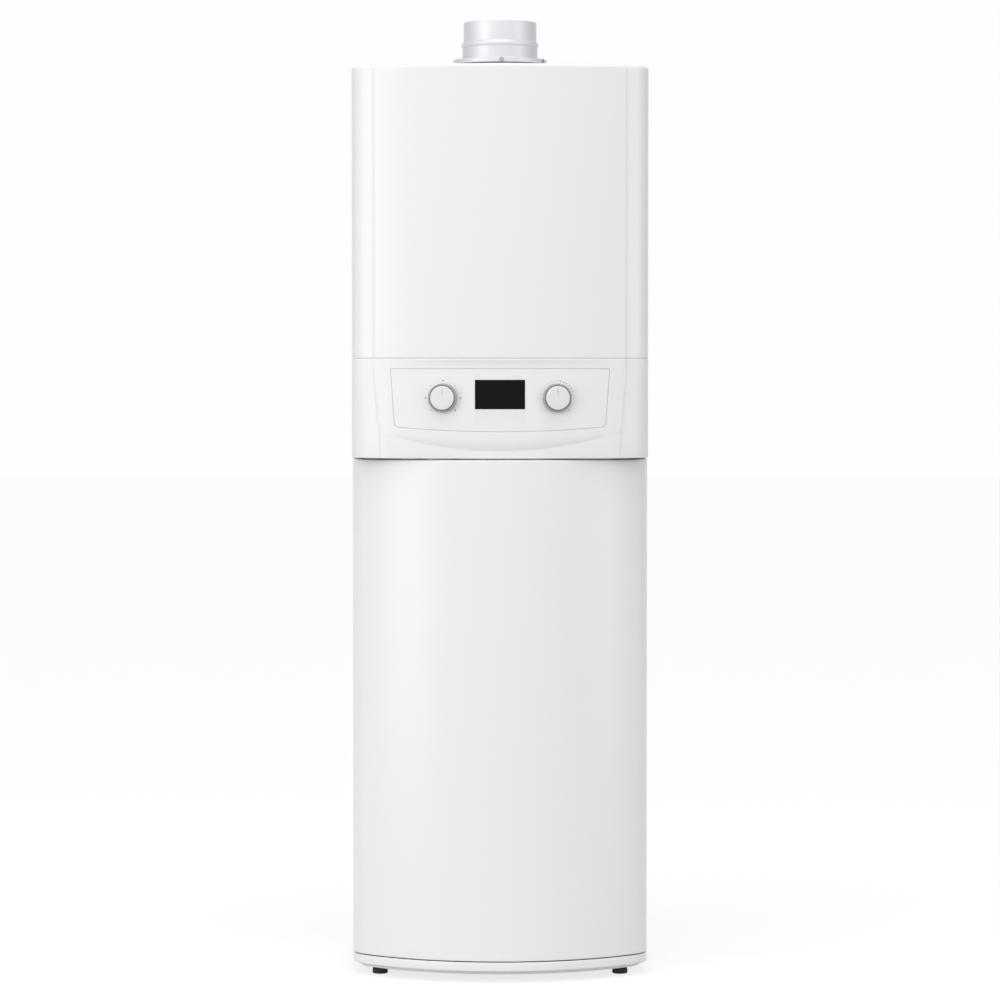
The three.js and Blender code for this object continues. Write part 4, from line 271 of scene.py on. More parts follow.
INK = moulded("grey marking ink", "#85888B", 0.6, 0.0)
INK_DARK = moulded("dark grey marking ink", "#3E4043", 0.6, 0.0)
print("plastics and inks ready")

# %% [markdown]
# ## Metals, foam and smoked acrylic
# The back sheets are hot-dip galvanised: the zinc freezes in flat crystals, the spangle, here
# 14 mm across, and each crystal reflects a little differently. Brushed and drawn metals carry
# fine lines along the way they were worked, and cast ones a grain without direction. Real brush
# lines are about 0.1 mm wide, so they are drawn 0.4 to 0.8 mm wide. The tank's jacket is rigid
# foam that shows its cells. The display's window is acrylic, smoked nearly black, with an
# anti-glare coat that reflects much less than bare plastic. That is why its IOR is set lower
# than the usual 1.49.


# %% Metal, zinc and foam recipes
EVEN = (1.0, 1.0, 1.0)  # a grain without direction


def metal(name, hex_colour, roughness, grain_mm, stretch, depth=0.00002):
    """A metal with a directional or cast grain in roughness and relief."""
    material, tree, shader = new_material(name, hex_colour, roughness, Metallic=1.0)
    grain = noise(tree, grain_mm, 3.0, stretch)
    vary(tree, shader, "Roughness", grain.outputs["Fac"], roughness - 0.08, roughness + 0.12)
    bump(tree, shader, grain.outputs["Fac"], depth)
    return material


def spangled(name):
    """Hot-dip zinc: pale crystals of slightly different greys."""
    material, tree, shader = new_material(name, "#B9BDC0", 0.4, Metallic=1.0)
    cells = crystals(tree, 14.3)
    grey = add_node(tree, "ShaderNodeSeparateColor", {"Color": cells.outputs["Color"]})
    mix_colours(tree, shader, grey.outputs["Red"], "#AEB2B5", "#C6CACC")
    vary(tree, shader, "Roughness", grey.outputs["Green"], 0.32, 0.48)
    return material


def foam(name):
    """A rigid foam jacket; its cells of about 0.5 mm are drawn 4 mm wide so that they show."""
    material, tree, shader = new_material(name, "#E2E0DA", 0.9)
    cells = crystals(tree, 3.85)
    bump(tree, shader, cells.outputs["Distance"], 0.0004)
    mix_colours(tree, shader, cells.outputs["Distance"], "#D9D6CE", "#E8E6E1")
    return material


print("metal, zinc and foam recipes ready")

# %% Metals, foam and window
ZINC = spangled("hot-dip zinc sheet")
STAINLESS = metal("brushed stainless steel", "#C4C4C2", 0.32, 11.1, (1.0, 1.0, 30.0))  # lines
CAST_ALUMINIUM = metal("cast aluminium", "#C2C4C6", 0.42, 2.0, EVEN, 0.00008)  # sandy and dull
DRAWN_ALUMINIUM = metal("drawn aluminium", "#CFD1D3", 0.28, 16.7, (20.0, 20.0, 1.0))  # long lines
COPPER = metal("drawn copper", "#C8825E", 0.3, 8.3, EVEN)  # bright where it is new
BRASS = metal("forged brass", "#C9A45C", 0.34, 3.33, EVEN, 0.00005)  # yellow, slightly pitted
STEEL_SCREW = metal("zinc-plated steel", "#B4B6B8", 0.3, 2.5, EVEN)
FOAM = foam("rigid foam")
SMOKED = new_material("anti-glare smoked acrylic", "#0B0B0C", 0.14, IOR=1.2)[0]
print("metals, foam and smoked acrylic ready")

# %% [markdown]
# ## Shape helpers
# Sheet pieces are drawn as rings of points, skinned with quads and thickened inwards, as a
# press would form them from flat sheet. A subdivided box would round every edge alike. Knobs,
# rings and pipes are turned about an axis, as on a lathe. Openings are cut with exact booleans.
# A boolean leaves long thin faces whose normals shade badly on a bowed sheet, so the smooth
# normals of the uncut form are put back on it afterwards.


# %% New objects
def add_object(name, bm, material, body, sharp=35.0):
    """Makes a smooth-shaded object from a bmesh, rides it on a body and gives it a finish."""
    bmesh.ops.recalc_face_normals(bm, faces=bm.faces)
    mesh = bpy.data.meshes.new(name)
    bm.to_mesh(mesh)
    bm.free()
    mesh.shade_smooth()
    mesh.set_sharp_from_angle(angle=math.radians(sharp))
    obj = bpy.data.objects.new(name, mesh)
    scene.collection.objects.link(obj)
    mesh.materials.append(material)
    if body:
        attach(obj, body)
    return obj


print("object helper ready")


# %% Lofts and shells
def loft(rings, closed=False):
    """Quads between rings of points; the sheet runs round if closed."""
    bm = bmesh.new()
    grid = [[bm.verts.new(p) for p in ring] for ring in rings]
    steps = len(grid[0]) if closed else len(grid[0]) - 1
    for low, high in zip(grid, grid[1:]):
        for i in range(steps):
            j = (i + 1) % len(low)
            bm.faces.new((low[i], low[j], high[j], high[i]))
    return bm


def thicken(bm, thickness):
    """Turns an open sheet into a closed shell, inwards from its outward faces."""
    bmesh.ops.recalc_face_normals(bm, faces=bm.faces)
    centre = Vector((0.0, 0.1, sum(v.co.z for v in bm.verts) / len(bm.verts)))
    front = min(bm.faces, key=lambda f: f.calc_center_median().y)
    if front.normal.dot(front.calc_center_median() - centre) < 0:
        bmesh.ops.reverse_faces(bm, faces=bm.faces)
    bmesh.ops.solidify(bm, geom=bm.faces, thickness=thickness)
    return bm


print("loft and shell helpers ready")


# %% Prisms, rods and turned solids
def prism(outline, y0, y1):
    """A closed prism along Y from a list of (x, z) points."""
    bm = bmesh.new()
    front = [bm.verts.new((x, y0, z)) for x, z in outline]
    back = [bm.verts.new((x, y1, z)) for x, z in outline]
    bm.faces.new(front)
    bm.faces.new(back[::-1])
    for i in range(len(front)):
        j = (i + 1) % len(front)
        bm.faces.new((front[i], front[j], back[j], back[i]))
    return bm


def rod(bm, matrix, radius, depth, steps):
    """Adds a closed round rod, centred on the matrix and along its Z axis, to a bmesh."""
    ends = {"radius1": radius, "radius2": radius, "depth": depth}
    bmesh.ops.create_cone(bm, cap_ends=True, segments=steps, matrix=matrix, **ends)
    return bm


def turned(profile, matrix, steps=96):
    """A solid of revolution: (radius, height) points turned about the matrix's Z axis."""
    angles = [2 * math.pi * i / steps for i in range(steps)]
    rings = []
    for radius, height in profile:
        ring = [Vector((radius * math.cos(a), radius * math.sin(a), height)) for a in angles]
        rings.append([matrix @ point for point in ring])
    bm = loft(rings + rings[:1], closed=True)
    bmesh.ops.remove_doubles(bm, verts=bm.verts, dist=1e-6)
    bmesh.ops.dissolve_degenerate(bm, edges=bm.edges, dist=1e-7)
    return bm


print("prism, rod and lathe helpers ready")


# %% Booleans
def carve(obj, bm, operation="DIFFERENCE"):
    """Joins, cuts or intersects obj with a closed bmesh, and bakes the result."""
    bmesh.ops.recalc_face_normals(bm, faces=bm.faces)
    mesh = bpy.data.meshes.new("tool")
    bm.to_mesh(mesh)
    bm.free()
    tool = bpy.data.objects.new("tool", mesh)
    scene.collection.objects.link(tool)
    modifier = obj.modifiers.new("carve", "BOOLEAN")
    modifier.object = tool
    modifier.operation = operation
    modifier.solver = "EXACT"
    modifier.material_mode = "INDEX"
    cut = obj.evaluated_get(bpy.context.evaluated_depsgraph_get())
    baked = bpy.data.meshes.new_from_object(cut)
    obj.modifiers.clear()
    old = obj.data
    obj.data = baked
    baked.name = obj.name
    bpy.data.meshes.remove(old)
    bpy.data.objects.remove(tool)
    bpy.data.meshes.remove(mesh)


print("boolean helper ready")


# %% Normals after a cut
ON_SURFACE = 0.0004  # a point closer than this lies on the uncut form


def keep_normals(obj, reference, spread=20.0):
    """Gives faces that lie on the reference form its smooth normals; cut faces stay flat."""
    mesh = obj.data
    limit = math.cos(math.radians(spread))
    places = [v.co for v in reference.vertices]
    tree = BVHTree.FromPolygons(places, [p.vertices for p in reference.polygons])
    smooth = [v.normal.copy() for v in reference.vertices]
    normals = [Vector(p.normal) for p in mesh.polygons for _ in p.loop_indices]
    for polygon in mesh.polygons:
        for loop in polygon.loop_indices:
            point = mesh.vertices[mesh.loops[loop].vertex_index].co
            place, flat, face, distance = tree.find_nearest(point)
            if distance > ON_SURFACE or polygon.normal.dot(flat) < limit:
                continue
            corners = reference.polygons[face].vertices
            weights = [1 / max(1e-6, (places[c] - place).length) for c in corners]
            blend = sum((smooth[c] * w for c, w in zip(corners, weights)), Vector())
            if blend.normalized().dot(polygon.normal) > limit:
                normals[loop] = blend.normalized()
    mesh.shade_smooth()
    mesh.normals_split_custom_set(normals)


print("normals helper ready")

# %% [markdown]
# ## Casing forms in plan
# Seen from above, the upper casing is a gently bowed face between two rolled columns, with a
# crease where they meet. The lower casing is one plain bow with round corners. Each plan is a
# function of how far inside the surface it runs, so that the same function draws the outside,
# the rounded edges and the folds. Circle arcs give the bows. A column is one Bezier curve,
# because the real one turns slowly at its crease and fast at its flank, and no arc does that.


# %% Bows
def face_y(x, inset=0.0):
    """The bowed middle of the upper casing."""
    return FRONT + FACE_RADIUS - math.sqrt((FACE_RADIUS - inset) ** 2 - x * x)


def panel_y(x, inset=0.0):
    """The control panel's bowed face."""
    return FRONT + PANEL_SET + PANEL_RADIUS - math.sqrt((PANEL_RADIUS - inset) ** 2 - x * x)


def lower_front_y(x, inset):
    """The lower casing's bow at x."""
    return FRONT + LOWER_RADIUS - math.sqrt((LOWER_RADIUS - inset) ** 2 - x * x)


print(f"bow of the face: {(face_y(CREASE) - FRONT) * 1000:.1f} mm deep at the creases")

# %% Plan of the upper casing
COLUMN_Y = face_y(CREASE) + COLUMN_B * math.cos(math.asin((HALF - COLUMN_A - CREASE) / COLUMN_A))
COLUMN_STEPS, FACE_STEPS = 24, 80
CREASE_HALF, CREASE_STEP = 0.0008, 0.0016  # the column starts a little behind the bowed face
COLUMN_LEAN = math.radians(25.0)
COLUMN_REACH, FLANK_REACH = 0.026, 0.033  # how far the curve holds each end's direction


def column_curve(inset, spread):
    """Points of the right column, from its crease round to its flank."""
    x = CREASE - spread + CREASE_HALF
    start = Vector((x, face_y(x) + CREASE_STEP))
    ahead = start + COLUMN_REACH * Vector((math.cos(COLUMN_LEAN), math.sin(COLUMN_LEAN)))
    end = Vector((HALF, COLUMN_Y))
    behind = end - Vector((0.0, FLANK_REACH))
    points = []
    for i in range(COLUMN_STEPS + 1):
        t = i / COLUMN_STEPS
        u = 1 - t
        place = u**3 * start + 3 * u * u * t * ahead + 3 * u * t * t * behind + t**3 * end
        run = u * u * (ahead - start) + 2 * u * t * (behind - ahead) + t * t * (end - behind)
        run.normalize()
        points.append((place.x - inset * run.y, place.y + inset * run.x, False))
    return points


def upper_outline(inset, back_y, spread=0.0):
    """Points (x, y, bowed) from the left rear hem round the front to the right rear hem."""
    right = column_curve(inset, spread)
    right += [(HALF - inset, back_y, False), (HALF - FLANGE, back_y, False)]
    crease = (CREASE - spread - CREASE_HALF) * (FACE_RADIUS - inset) / FACE_RADIUS
    middle = [crease * (2 * i / FACE_STEPS - 1) for i in range(FACE_STEPS + 1)]
    left = [(-x, y, False) for x, y, _ in reversed(right)]
    return left + [(x, face_y(x, inset), True) for x in middle] + right


print("upper plan ready,", len(upper_outline(0.0, COVER_BACK)), "points")

# %% Plan of the lower casing
BOW_STEPS, CORNER_STEPS = 32, 18


def lower_outline(inset, back_y, hem=FLANGE):
    """Points (x, y) of the lower casing from its left rear hem to its right rear hem."""
    arc_y = FRONT + LOWER_RADIUS
    corner_x = HALF - CORNER_RADIUS
    reach = LOWER_RADIUS - CORNER_RADIUS
    lean = math.asin(corner_x / reach)
    corner_y = arc_y - reach * math.cos(lean)
    radius, corner = LOWER_RADIUS - inset, CORNER_RADIUS - inset
    right = []
    for i in range(BOW_STEPS + 1):
        angle = lean * i / BOW_STEPS
        right.append((radius * math.sin(angle), arc_y - radius * math.cos(angle)))
    for i in range(1, CORNER_STEPS + 1):
        angle = lean + (math.pi / 2 - lean) * i / CORNER_STEPS
        right.append((corner_x + corner * math.sin(angle), corner_y - corner * math.cos(angle)))
    right.append((HALF - inset, back_y))
    if hem:
        right.append((HALF - hem, back_y))
    return [(-x, y) for x, y in reversed(right[1:])] + right


print("lower plan ready,", len(lower_outline(0.0, LOWER_BACK)), "points")


# %% Folded and rounded edges
def turned_in(outline, depth, front_curve):
    """The inner edge of a flange folded in by depth from an outline."""
    side = HALF - depth
    points = []
    for x, y, *_ in outline:
        x = max(-side, min(side, x))
        points.append((x, max(y, front_curve(x, depth))))
    return points


def edge_round(radius, steps=5):
    """(inset, rise) pairs of a quarter round, from the folded edge to the face."""
    angles = [math.pi / 2 * i / steps for i in range(steps + 1)]
    return [(radius * (1 - math.sin(a)), radius * (1 - math.cos(a))) for a in angles]


print("edge helpers ready")

# %% [markdown]
# ## Casing
# The upper cover and the lower front panel are each pressed from one sheet: a bowed front,
# flanks, flanges folded in at the top and foot, and hems at the rear. The bends have radii of 1
# to 5 mm, and they catch the thin bright lines at the edges. Smooth shading would spread such a
# bend over the whole wall, so a ring of points beside each bend holds the wall flat.

# %% Pressed fronts
EDGE_SUPPORT = 0.004  # the flat face starts this far from a rounded edge


def pressed(name, plan, front_curve, z0, z1, rounds, flanges, body):
    """A pressed front: plan(inset) gives points; the edges are rounded and folded in."""
    (foot_r, head_r), (foot_f, head_f) = rounds, flanges
    levels = [(i, z0 + rise) for i, rise in edge_round(foot_r)]
    levels += [(0.0, z0 + foot_r + EDGE_SUPPORT), (0.0, z1 - head_r - EDGE_SUPPORT)]
    levels += [(i, z1 - rise) for i, rise in reversed(edge_round(head_r))]
    rings = [[(*p[:2], z) for p in plan(inset)] for inset, z in levels]
    rings.insert(0, [(*p, z0) for p in turned_in(plan(foot_r), foot_f, front_curve)])
    rings.append([(*p, z1) for p in turned_in(plan(head_r), head_f, front_curve)])
    obj = add_object(name, thicken(loft(rings), SHEET), WHITE_ENAMEL, body)
    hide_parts(name.replace("_skin", ""))
    return obj


print("press helper ready")

# %% Lower front panel and upper cover
LOWER_ROUNDS, LOWER_FLANGES = (0.0018, 0.0018), (FLANGE, FLANGE)  # foot, head
COVER_ROUNDS, COVER_FLANGES = (0.0012, 0.005), (FLANGE, 0.040)
lower_low, lower_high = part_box("lower_front_panel")
pressed(
    "lower_front_panel_skin",
    lambda inset: lower_outline(inset, LOWER_BACK),
    lower_front_y,
    lower_low[2],
    lower_high[2],
    LOWER_ROUNDS,
    LOWER_FLANGES,
    "lower_front",
)
cover_low, cover_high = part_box("upper_front_cover")
pressed(
    "upper_front_cover_skin",
    lambda inset: upper_outline(inset, COVER_BACK),
    face_y,
    cover_low[2],
    cover_high[2],
    COVER_ROUNDS,
    COVER_FLANGES,
    "upper_cover",
)
print("lower front panel and upper cover made")

# %% [markdown]
# ## Control fascia
# The fascia is one moulding of white ABS. Its bowed middle rolls inwards under the control
# panel to a line shaped like a smile, and below the line lies an apron, set back. The columns
# grow wider towards the foot. A displaced plane could show the smile, but its line would be
# ragged. Here every level of the loft bends to follow it, so the line stays sharp. The panel
# plate lies in a shallow pocket with a gap of 0.6 mm round it, which draws its thin shadow.

# %% Panel and visor sizes
PANEL_TOP, PANEL_HEIGHT = FASCIA_Z1 - 0.0165, 0.0965
PANEL_FOOT = PANEL_TOP - PANEL_HEIGHT
PANEL_TOP_HALF, PANEL_FOOT_HALF = 0.183, 0.176
PANEL_SAG = 0.0075  # how far the panel's foot hangs down in the middle
PANEL_GAP, PANEL_THICKNESS = 0.0006, 0.002
APRON_SET, APRON_REACH = 0.0074, 0.190
VISOR_ROLL = 3.5  # how late the visor turns in towards the smile-shaped line
SMILE_LOW, SMILE_RISE = 0.0123, 0.0243
SMILE_ROUND, SMILE_EDGE = 0.004, 0.0008  # levels just under the line, which keep it sharp
VISOR_STEPS, WALL_STEPS = 16, 8
FASCIA_WALL = 0.004
FASCIA_FOOT_ROUND, FASCIA_HEAD_ROUND = 0.0015, 0.0012
FASCIA_FLANGE, BROW_DROP = 0.014, 0.0015
LIP_BACK, LIP_RISE = 0.0014, 0.0010  # a lip behind the seam under the cover
print(f"panel {PANEL_TOP_HALF * 2000:.0f} mm wide and {PANEL_HEIGHT * 1000:.1f} mm high")


# %% Levels and rings of the fascia
def fascia_levels(x):
    """(inset, height, set-back of the bowed middle) from the fascia's foot to its top."""
    across = min(1.0, abs(x) / PANEL_FOOT_HALF)
    apron = APRON_SET * max(0.0, 1 - (x / APRON_REACH) ** 2)
    seat = max(0.0, panel_y(x) - face_y(x))
    smile = FASCIA_Z0 + SMILE_LOW + SMILE_RISE * across**2
    foot = PANEL_FOOT - PANEL_SAG * (1 - across**2) - PANEL_GAP
    top = PANEL_TOP + PANEL_GAP
    levels = [(i, FASCIA_Z0 + rise, apron) for i, rise in edge_round(FASCIA_FOOT_ROUND)]
    levels += [(0.0, smile - SMILE_ROUND, apron), (0.0, smile - SMILE_EDGE, apron)]
    for step in range(VISOR_STEPS + 1):
        t = 1 - step / VISOR_STEPS
        set_back = seat + (max(apron, seat) - seat) * t**VISOR_ROLL
        levels.append((0.0, foot + (smile - foot) * t, set_back))
    brow = FASCIA_Z1 - BROW_DROP
    steps = range(1, WALL_STEPS + 1)
    levels += [(0.0, foot + (top - foot) * k / WALL_STEPS, seat) for k in steps]
    for k in steps:
        fade = 1 - (k / WALL_STEPS) ** 2
        levels.append((0.0, top + (brow - top) * k / WALL_STEPS, seat * fade))
    levels += [(i, FASCIA_Z1 - rise, 0.0) for i, rise in reversed(edge_round(FASCIA_HEAD_ROUND))]
    return levels


def fascia_rings():
    """Rings of the fascia's skin, with its columns widening towards the foot."""
    rings = []
    reference = fascia_levels(CREASE)
    for k, (inset, z, _) in enumerate(reference):
        rise = min(1.0, max(0.0, (z - FASCIA_Z0) / (FASCIA_Z1 - FASCIA_Z0)))
        spread = SPREAD * (0.5 + 0.5 * math.cos(math.pi * rise))
        ring = []
        for x, y, bowed in upper_outline(inset, COVER_BACK, spread):
            _, height, back = fascia_levels(x)[k]
            ring.append((x, y + (back if bowed else 0.0), height))
        rings.append(ring)
    foot = turned_in(upper_outline(FASCIA_FOOT_ROUND, COVER_BACK), FASCIA_FLANGE, face_y)
    foot = [(x, y, FASCIA_Z0) for x, y in foot]
    head = []
    for inset, rise in ((LIP_BACK, 0.0), (LIP_BACK, LIP_RISE)):
        head.append([(x, y, FASCIA_Z1 + rise) for x, y, _ in upper_outline(inset, COVER_BACK)])
    inner = turned_in(upper_outline(LIP_BACK, COVER_BACK), FASCIA_FLANGE, face_y)
    head.append([(x, y, FASCIA_Z1 + LIP_RISE) for x, y in inner])
    return [foot, *rings, *head]


print("fascia forms ready,", len(fascia_levels(0.0)), "levels")

# %% Outline of the panel
HEAD_CORNER, FOOT_CORNER = 0.004, 0.008
FOOT_LEAN = 0.09  # how steeply the sagging foot leaves its corners
CORNER_POINTS, FOOT_POINTS = 10, 48


def quadratic(a, b, c, count):
    """Points of a quadratic curve from a towards c, without c."""
    ts = [i / count for i in range(count)]
    return [
        tuple((1 - t) ** 2 * a[k] + 2 * t * (1 - t) * b[k] + t * t * c[k] for k in (0, 1))
        for t in ts
    ]


def panel_outline(margin):
    """The panel's trapezoid as (x, z) points, anticlockwise from the top left, grown by margin."""
    top, foot = PANEL_TOP + margin, PANEL_FOOT - margin
    wide, narrow = PANEL_TOP_HALF + margin, PANEL_FOOT_HALF + margin
    slope = (wide - narrow) / PANEL_HEIGHT
    r, s, low = HEAD_CORNER, FOOT_CORNER, foot - FOOT_LEAN * FOOT_CORNER
    curves = [
        ((-wide + r, top), (-wide, top), (-wide + r * slope, top - r), CORNER_POINTS),
        ((-narrow - s * slope, foot + s), (-narrow, foot), (-narrow + s, low), CORNER_POINTS),
        ((-narrow + s, low), (0.0, foot - 2 * PANEL_SAG), (narrow - s, low), FOOT_POINTS),
        ((narrow - s, low), (narrow, foot), (narrow + s * slope, foot + s), CORNER_POINTS),
        ((wide - r * slope, top - r), (wide, top), (wide - r, top), CORNER_POINTS),
    ]
    return [point for curve in curves for point in quadratic(*curve)]


print("panel outline ready,", len(panel_outline(0.0)), "points")

# %% Sheets in the panel's bow
SLAB_HALF = 0.195  # wider than the panel
SLAB_Z = (PANEL_FOOT - 0.03, PANEL_TOP + 0.01)
AHEAD = 0.02  # cutting tools start this far before the front


def bowed_slab(inset, depth, columns=72, rows=2):
    """A slab whose front follows the panel's face at an inset behind it."""
    z0, z1 = SLAB_Z
    xs = [SLAB_HALF * (2 * i / columns - 1) for i in range(columns + 1)]
    zs = [z0 + (z1 - z0) * k / rows for k in range(rows + 1)]
    return thicken(loft([[(x, panel_y(x, inset), z) for x in xs] for z in zs]), depth)


print("slab helper ready")

# %% Fascia with the panel's pocket
POCKET_PLAY = 0.0003  # room behind the plate
fascia = add_object(
    "control_fascia_skin", thicken(loft(fascia_rings()), FASCIA_WALL), WHITE_PLASTIC, None
)
whole = fascia.data.copy()
pocket_depth = PANEL_THICKNESS + POCKET_PLAY
pocket = add_object(
    "pocket", prism(panel_outline(PANEL_GAP), FRONT - AHEAD, BACK), WHITE_PLASTIC, None
)
carve(pocket, bowed_slab(-AHEAD, AHEAD + pocket_depth), "INTERSECT")
pocket_bm = bmesh.new()
pocket_bm.from_mesh(pocket.data)
bpy.data.objects.remove(pocket)
carve(fascia, pocket_bm)
keep_normals(fascia, whole)
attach(fascia, "control_unit")
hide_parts("control_fascia")
print("control fascia made:", len(fascia.data.polygons), "faces")

# %% [markdown]
# ## Panel plate and display window
# The plate is a thin sheet of the same white, bowed more gently than the fascia, with an
# opening for the dark window. Both could be flat planes laid on top. Then they would float in
# front of the bow or sink into it, so both are cut from sheets that follow it.

# %% Panel plate and display window
WINDOW_Z = FASCIA_Z1 - 0.0593
WINDOW_HALF = (0.0416, 0.0243)
WINDOW_GAP, WINDOW_SET, WINDOW_THICKNESS = 0.0003, 0.0001, 0.002


def window_outline(margin):
    """The window's rectangle as (x, z) points."""
    w, h = WINDOW_HALF[0] + margin, WINDOW_HALF[1] + margin
    return [(-w, WINDOW_Z + h), (-w, WINDOW_Z - h), (w, WINDOW_Z - h), (w, WINDOW_Z + h)]


def panel_piece(name, inset, depth, outline, material, cut=None):
    """A bowed sheet in the panel's face, trimmed to an outline."""
    obj = add_object(name, bowed_slab(inset, depth), material, None)
    uncut = obj.data.copy()
    carve(obj, prism(outline, FRONT - AHEAD, BACK), "INTERSECT")
    if cut:
        carve(obj, prism(cut, FRONT - AHEAD, BACK))
    keep_normals(obj, uncut)
    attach(obj, "control_unit")
    return obj


opening = window_outline(WINDOW_GAP)
plate = panel_piece(
    "control_panel_skin", 0.0, PANEL_THICKNESS, panel_outline(0.0), WHITE_PLASTIC, opening
)
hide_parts("control_panel_plate")
window = panel_piece(
    "display_window_skin", WINDOW_SET, WINDOW_THICKNESS, window_outline(0.0), SMOKED
)
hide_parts("display_window")
print("panel plate and display window made")

# %% [markdown]
# ## Controls
# Two round knobs set the temperatures. Each is a moulded cap that tapers slightly towards its
# face, so that it leaves the mould. It turns inside a fixed grey ring. Because the panel is
# bowed, the knobs point slightly outwards. A frame on the panel's face gives every control its
# place and direction. The dots round them are printed, and here they are thin discs on the same
# bow.

# %% Frames on the panel
UP = Vector((0.0, 0.0, 1.0))


def outward_frame(out, origin):
    """A frame with its Z axis along out and its Y axis up."""
    place = Matrix((UP.cross(out), UP, out)).transposed().to_4x4()
    place.translation = origin
    return place


def on_panel(side, clock_degrees=0.0, radius=0.0):
    """A frame on the panel's face at an angle, clockwise from the top, round a knob's centre."""
    angle = math.radians(clock_degrees)
    x = side * KNOB_X + radius * math.sin(angle)
    z = KNOB_Z + radius * math.cos(angle)
    lean = math.asin(x / PANEL_RADIUS)
    return outward_frame(Vector((math.sin(lean), -math.cos(lean), 0.0)), (x, panel_y(x), z))


def quarter(radius, height, bend, steps):
    """(radius, height) points of an outer edge's quarter round that ends at a height."""
    angles = [math.pi / 2 * k / steps for k in range(steps + 1)]
    return [
        (radius - bend + bend * math.cos(a), height - bend + bend * math.sin(a)) for a in angles
    ]


knob_lean = math.degrees(math.asin(KNOB_X / PANEL_RADIUS))
print(f"knob frames ready, {knob_lean:.1f} degrees outwards")

# %% Profiles of a knob and its ring
CAP_RADIUS, CAP_PROUD = 0.0204, 0.0118
CAP_TAPER, CAP_BEND = 0.0004, 0.0015
CAP_CLEAR, CAP_BACK = 0.0008, 0.0014  # clear of the panel, and end of the back bevel
RING_INNER, RING_OUTER, RING_PROUD = 0.021, 0.024, 0.0088
RING_CLEAR, RING_BEND, RING_BEVEL = 0.0003, 0.0012, 0.0005
CAP_PROFILE = [(0.0, CAP_CLEAR), (CAP_RADIUS - 0.002, CAP_CLEAR), (CAP_RADIUS, CAP_BACK)]
CAP_PROFILE += [
    (CAP_RADIUS - CAP_TAPER * t, CAP_BACK + (CAP_PROUD - 2 * CAP_BEND) * t) for t in (0.5, 1.0)
]
CAP_PROFILE += quarter(CAP_RADIUS - CAP_TAPER, CAP_PROUD, CAP_BEND, 6)
CAP_PROFILE += [(share * CAP_RADIUS, CAP_PROUD) for share in (0.6, 0.3, 0.0)]
RING_PROFILE = [(RING_INNER, RING_CLEAR), (RING_OUTER, RING_CLEAR)]
RING_PROFILE += quarter(RING_OUTER, RING_PROUD, RING_BEND, 4)
RING_PROFILE += [(RING_INNER + RING_BEVEL, RING_PROUD), (RING_INNER, RING_PROUD - RING_BEVEL)]
print("knob profiles ready")

# %% Marks round the knobs
MARK_THICKNESS = 0.00008
POINTER_MIDDLE, POINTER_SIZE = 0.0108, (0.0011, 0.0115, 0.0002, 1.0)
MARKS = {  # tone, radius of a dot, radius of the ring of dots, angles in degrees

    "left": [
        ("faint", 0.0007, 0.0290, (-135, -45, 45)),
        ("dark", 0.0011, 0.0290, (-90, 0, 90, 135)),
    ],
    "right": [
        ("faint", 0.0006, 0.0285, (-135, -90, -79, -68, -57, -45, -34, -23, -11)),
        ("dark", 0.0008, 0.0285, (0, 11, 23, 34, 45, 57, 68, 79, 90, 135)),
    ],
}
INKS = {"faint": INK, "dark": INK_DARK}
print("marks listed")

# %% Knobs, rings, pointers and marks
for name, side in (("left", -1), ("right", 1)):
    place = on_panel(side)
    cap = turned(CAP_PROFILE, place)
    knob = add_object(f"{name}_knob_skin", cap, KNOB_PLASTIC, f"{name}_knob")
    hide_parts(f"{name}_knob")
    ring = turned(RING_PROFILE, place)
    bezel = add_object(f"{name}_bezel_skin", ring, RING_GREY, "control_unit")
    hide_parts(f"{name}_knob_bezel")
    pointer = bmesh.new()
    bar = Matrix.Translation((0.0, POINTER_MIDDLE, CAP_PROUD)) @ Matrix.Diagonal(POINTER_SIZE)
    bmesh.ops.create_cube(pointer, size=1.0, matrix=place @ bar)
    line = add_object(f"{name}_pointer", pointer, POINTER_GREY, f"{name}_knob")
    for tone, size, radius, angles in MARKS[name]:
        dots = bmesh.new()
        raised = Matrix.Translation((0.0, 0.0, MARK_THICKNESS / 2))
        for angle in angles:
            rod(dots, on_panel(side, angle, radius) @ raised, size, MARK_THICKNESS, 16)
        marks = add_object(f"{name}_marks_{tone}", dots, INKS[tone], "control_unit")
print("controls made")

# %% [markdown]
# ## Flue outlet
# Burnt gas leaves through an inner pipe, and fresh air comes in through the gap round it. The
# adapter on top is spun from aluminium and painted: a round flange held by screws, a tube in
# two steps, and a rolled bead where they meet. Stacked cylinders would give the steps but not
# the bends, which catch the light. Here it is one profile turned about the flue's axis. Points
# close beside each bend keep the straight walls straight.

# %% Flue adapter's sizes
flue_low, flue_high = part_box("flue_adapter")
FLANGE_Z = flue_low[2] + 0.0002
FLUE_AXIS = Matrix.Translation((0.0, FLUE_Y, FLANGE_Z))
FLANGE_TOP, FLANGE_RADIUS, FLANGE_BEVEL = 0.008, 0.0805, 0.0008
RIM = flue_high[2] - FLANGE_Z
SOCKET, TUBE, FOOT_TUBE, BEAD = 0.0616, 0.0628, 0.0646, 0.0672  # radii
BEAD_FOOT, BEAD_HEIGHT = FLANGE_TOP + 0.0215, 0.0095
BEAD_TOP = BEAD_FOOT + BEAD_HEIGHT
BEAD_FULLNESS = 0.6  # below 1 the bead is rounder than a sine
FILLET = 0.0012
SUPPORT = 0.0012  # straight walls start this far from a bend
RIM_BEND = 0.0006
print(f"flue flange at z = {FLANGE_Z:.4f} m, rim {RIM * 1000:.1f} mm above it")

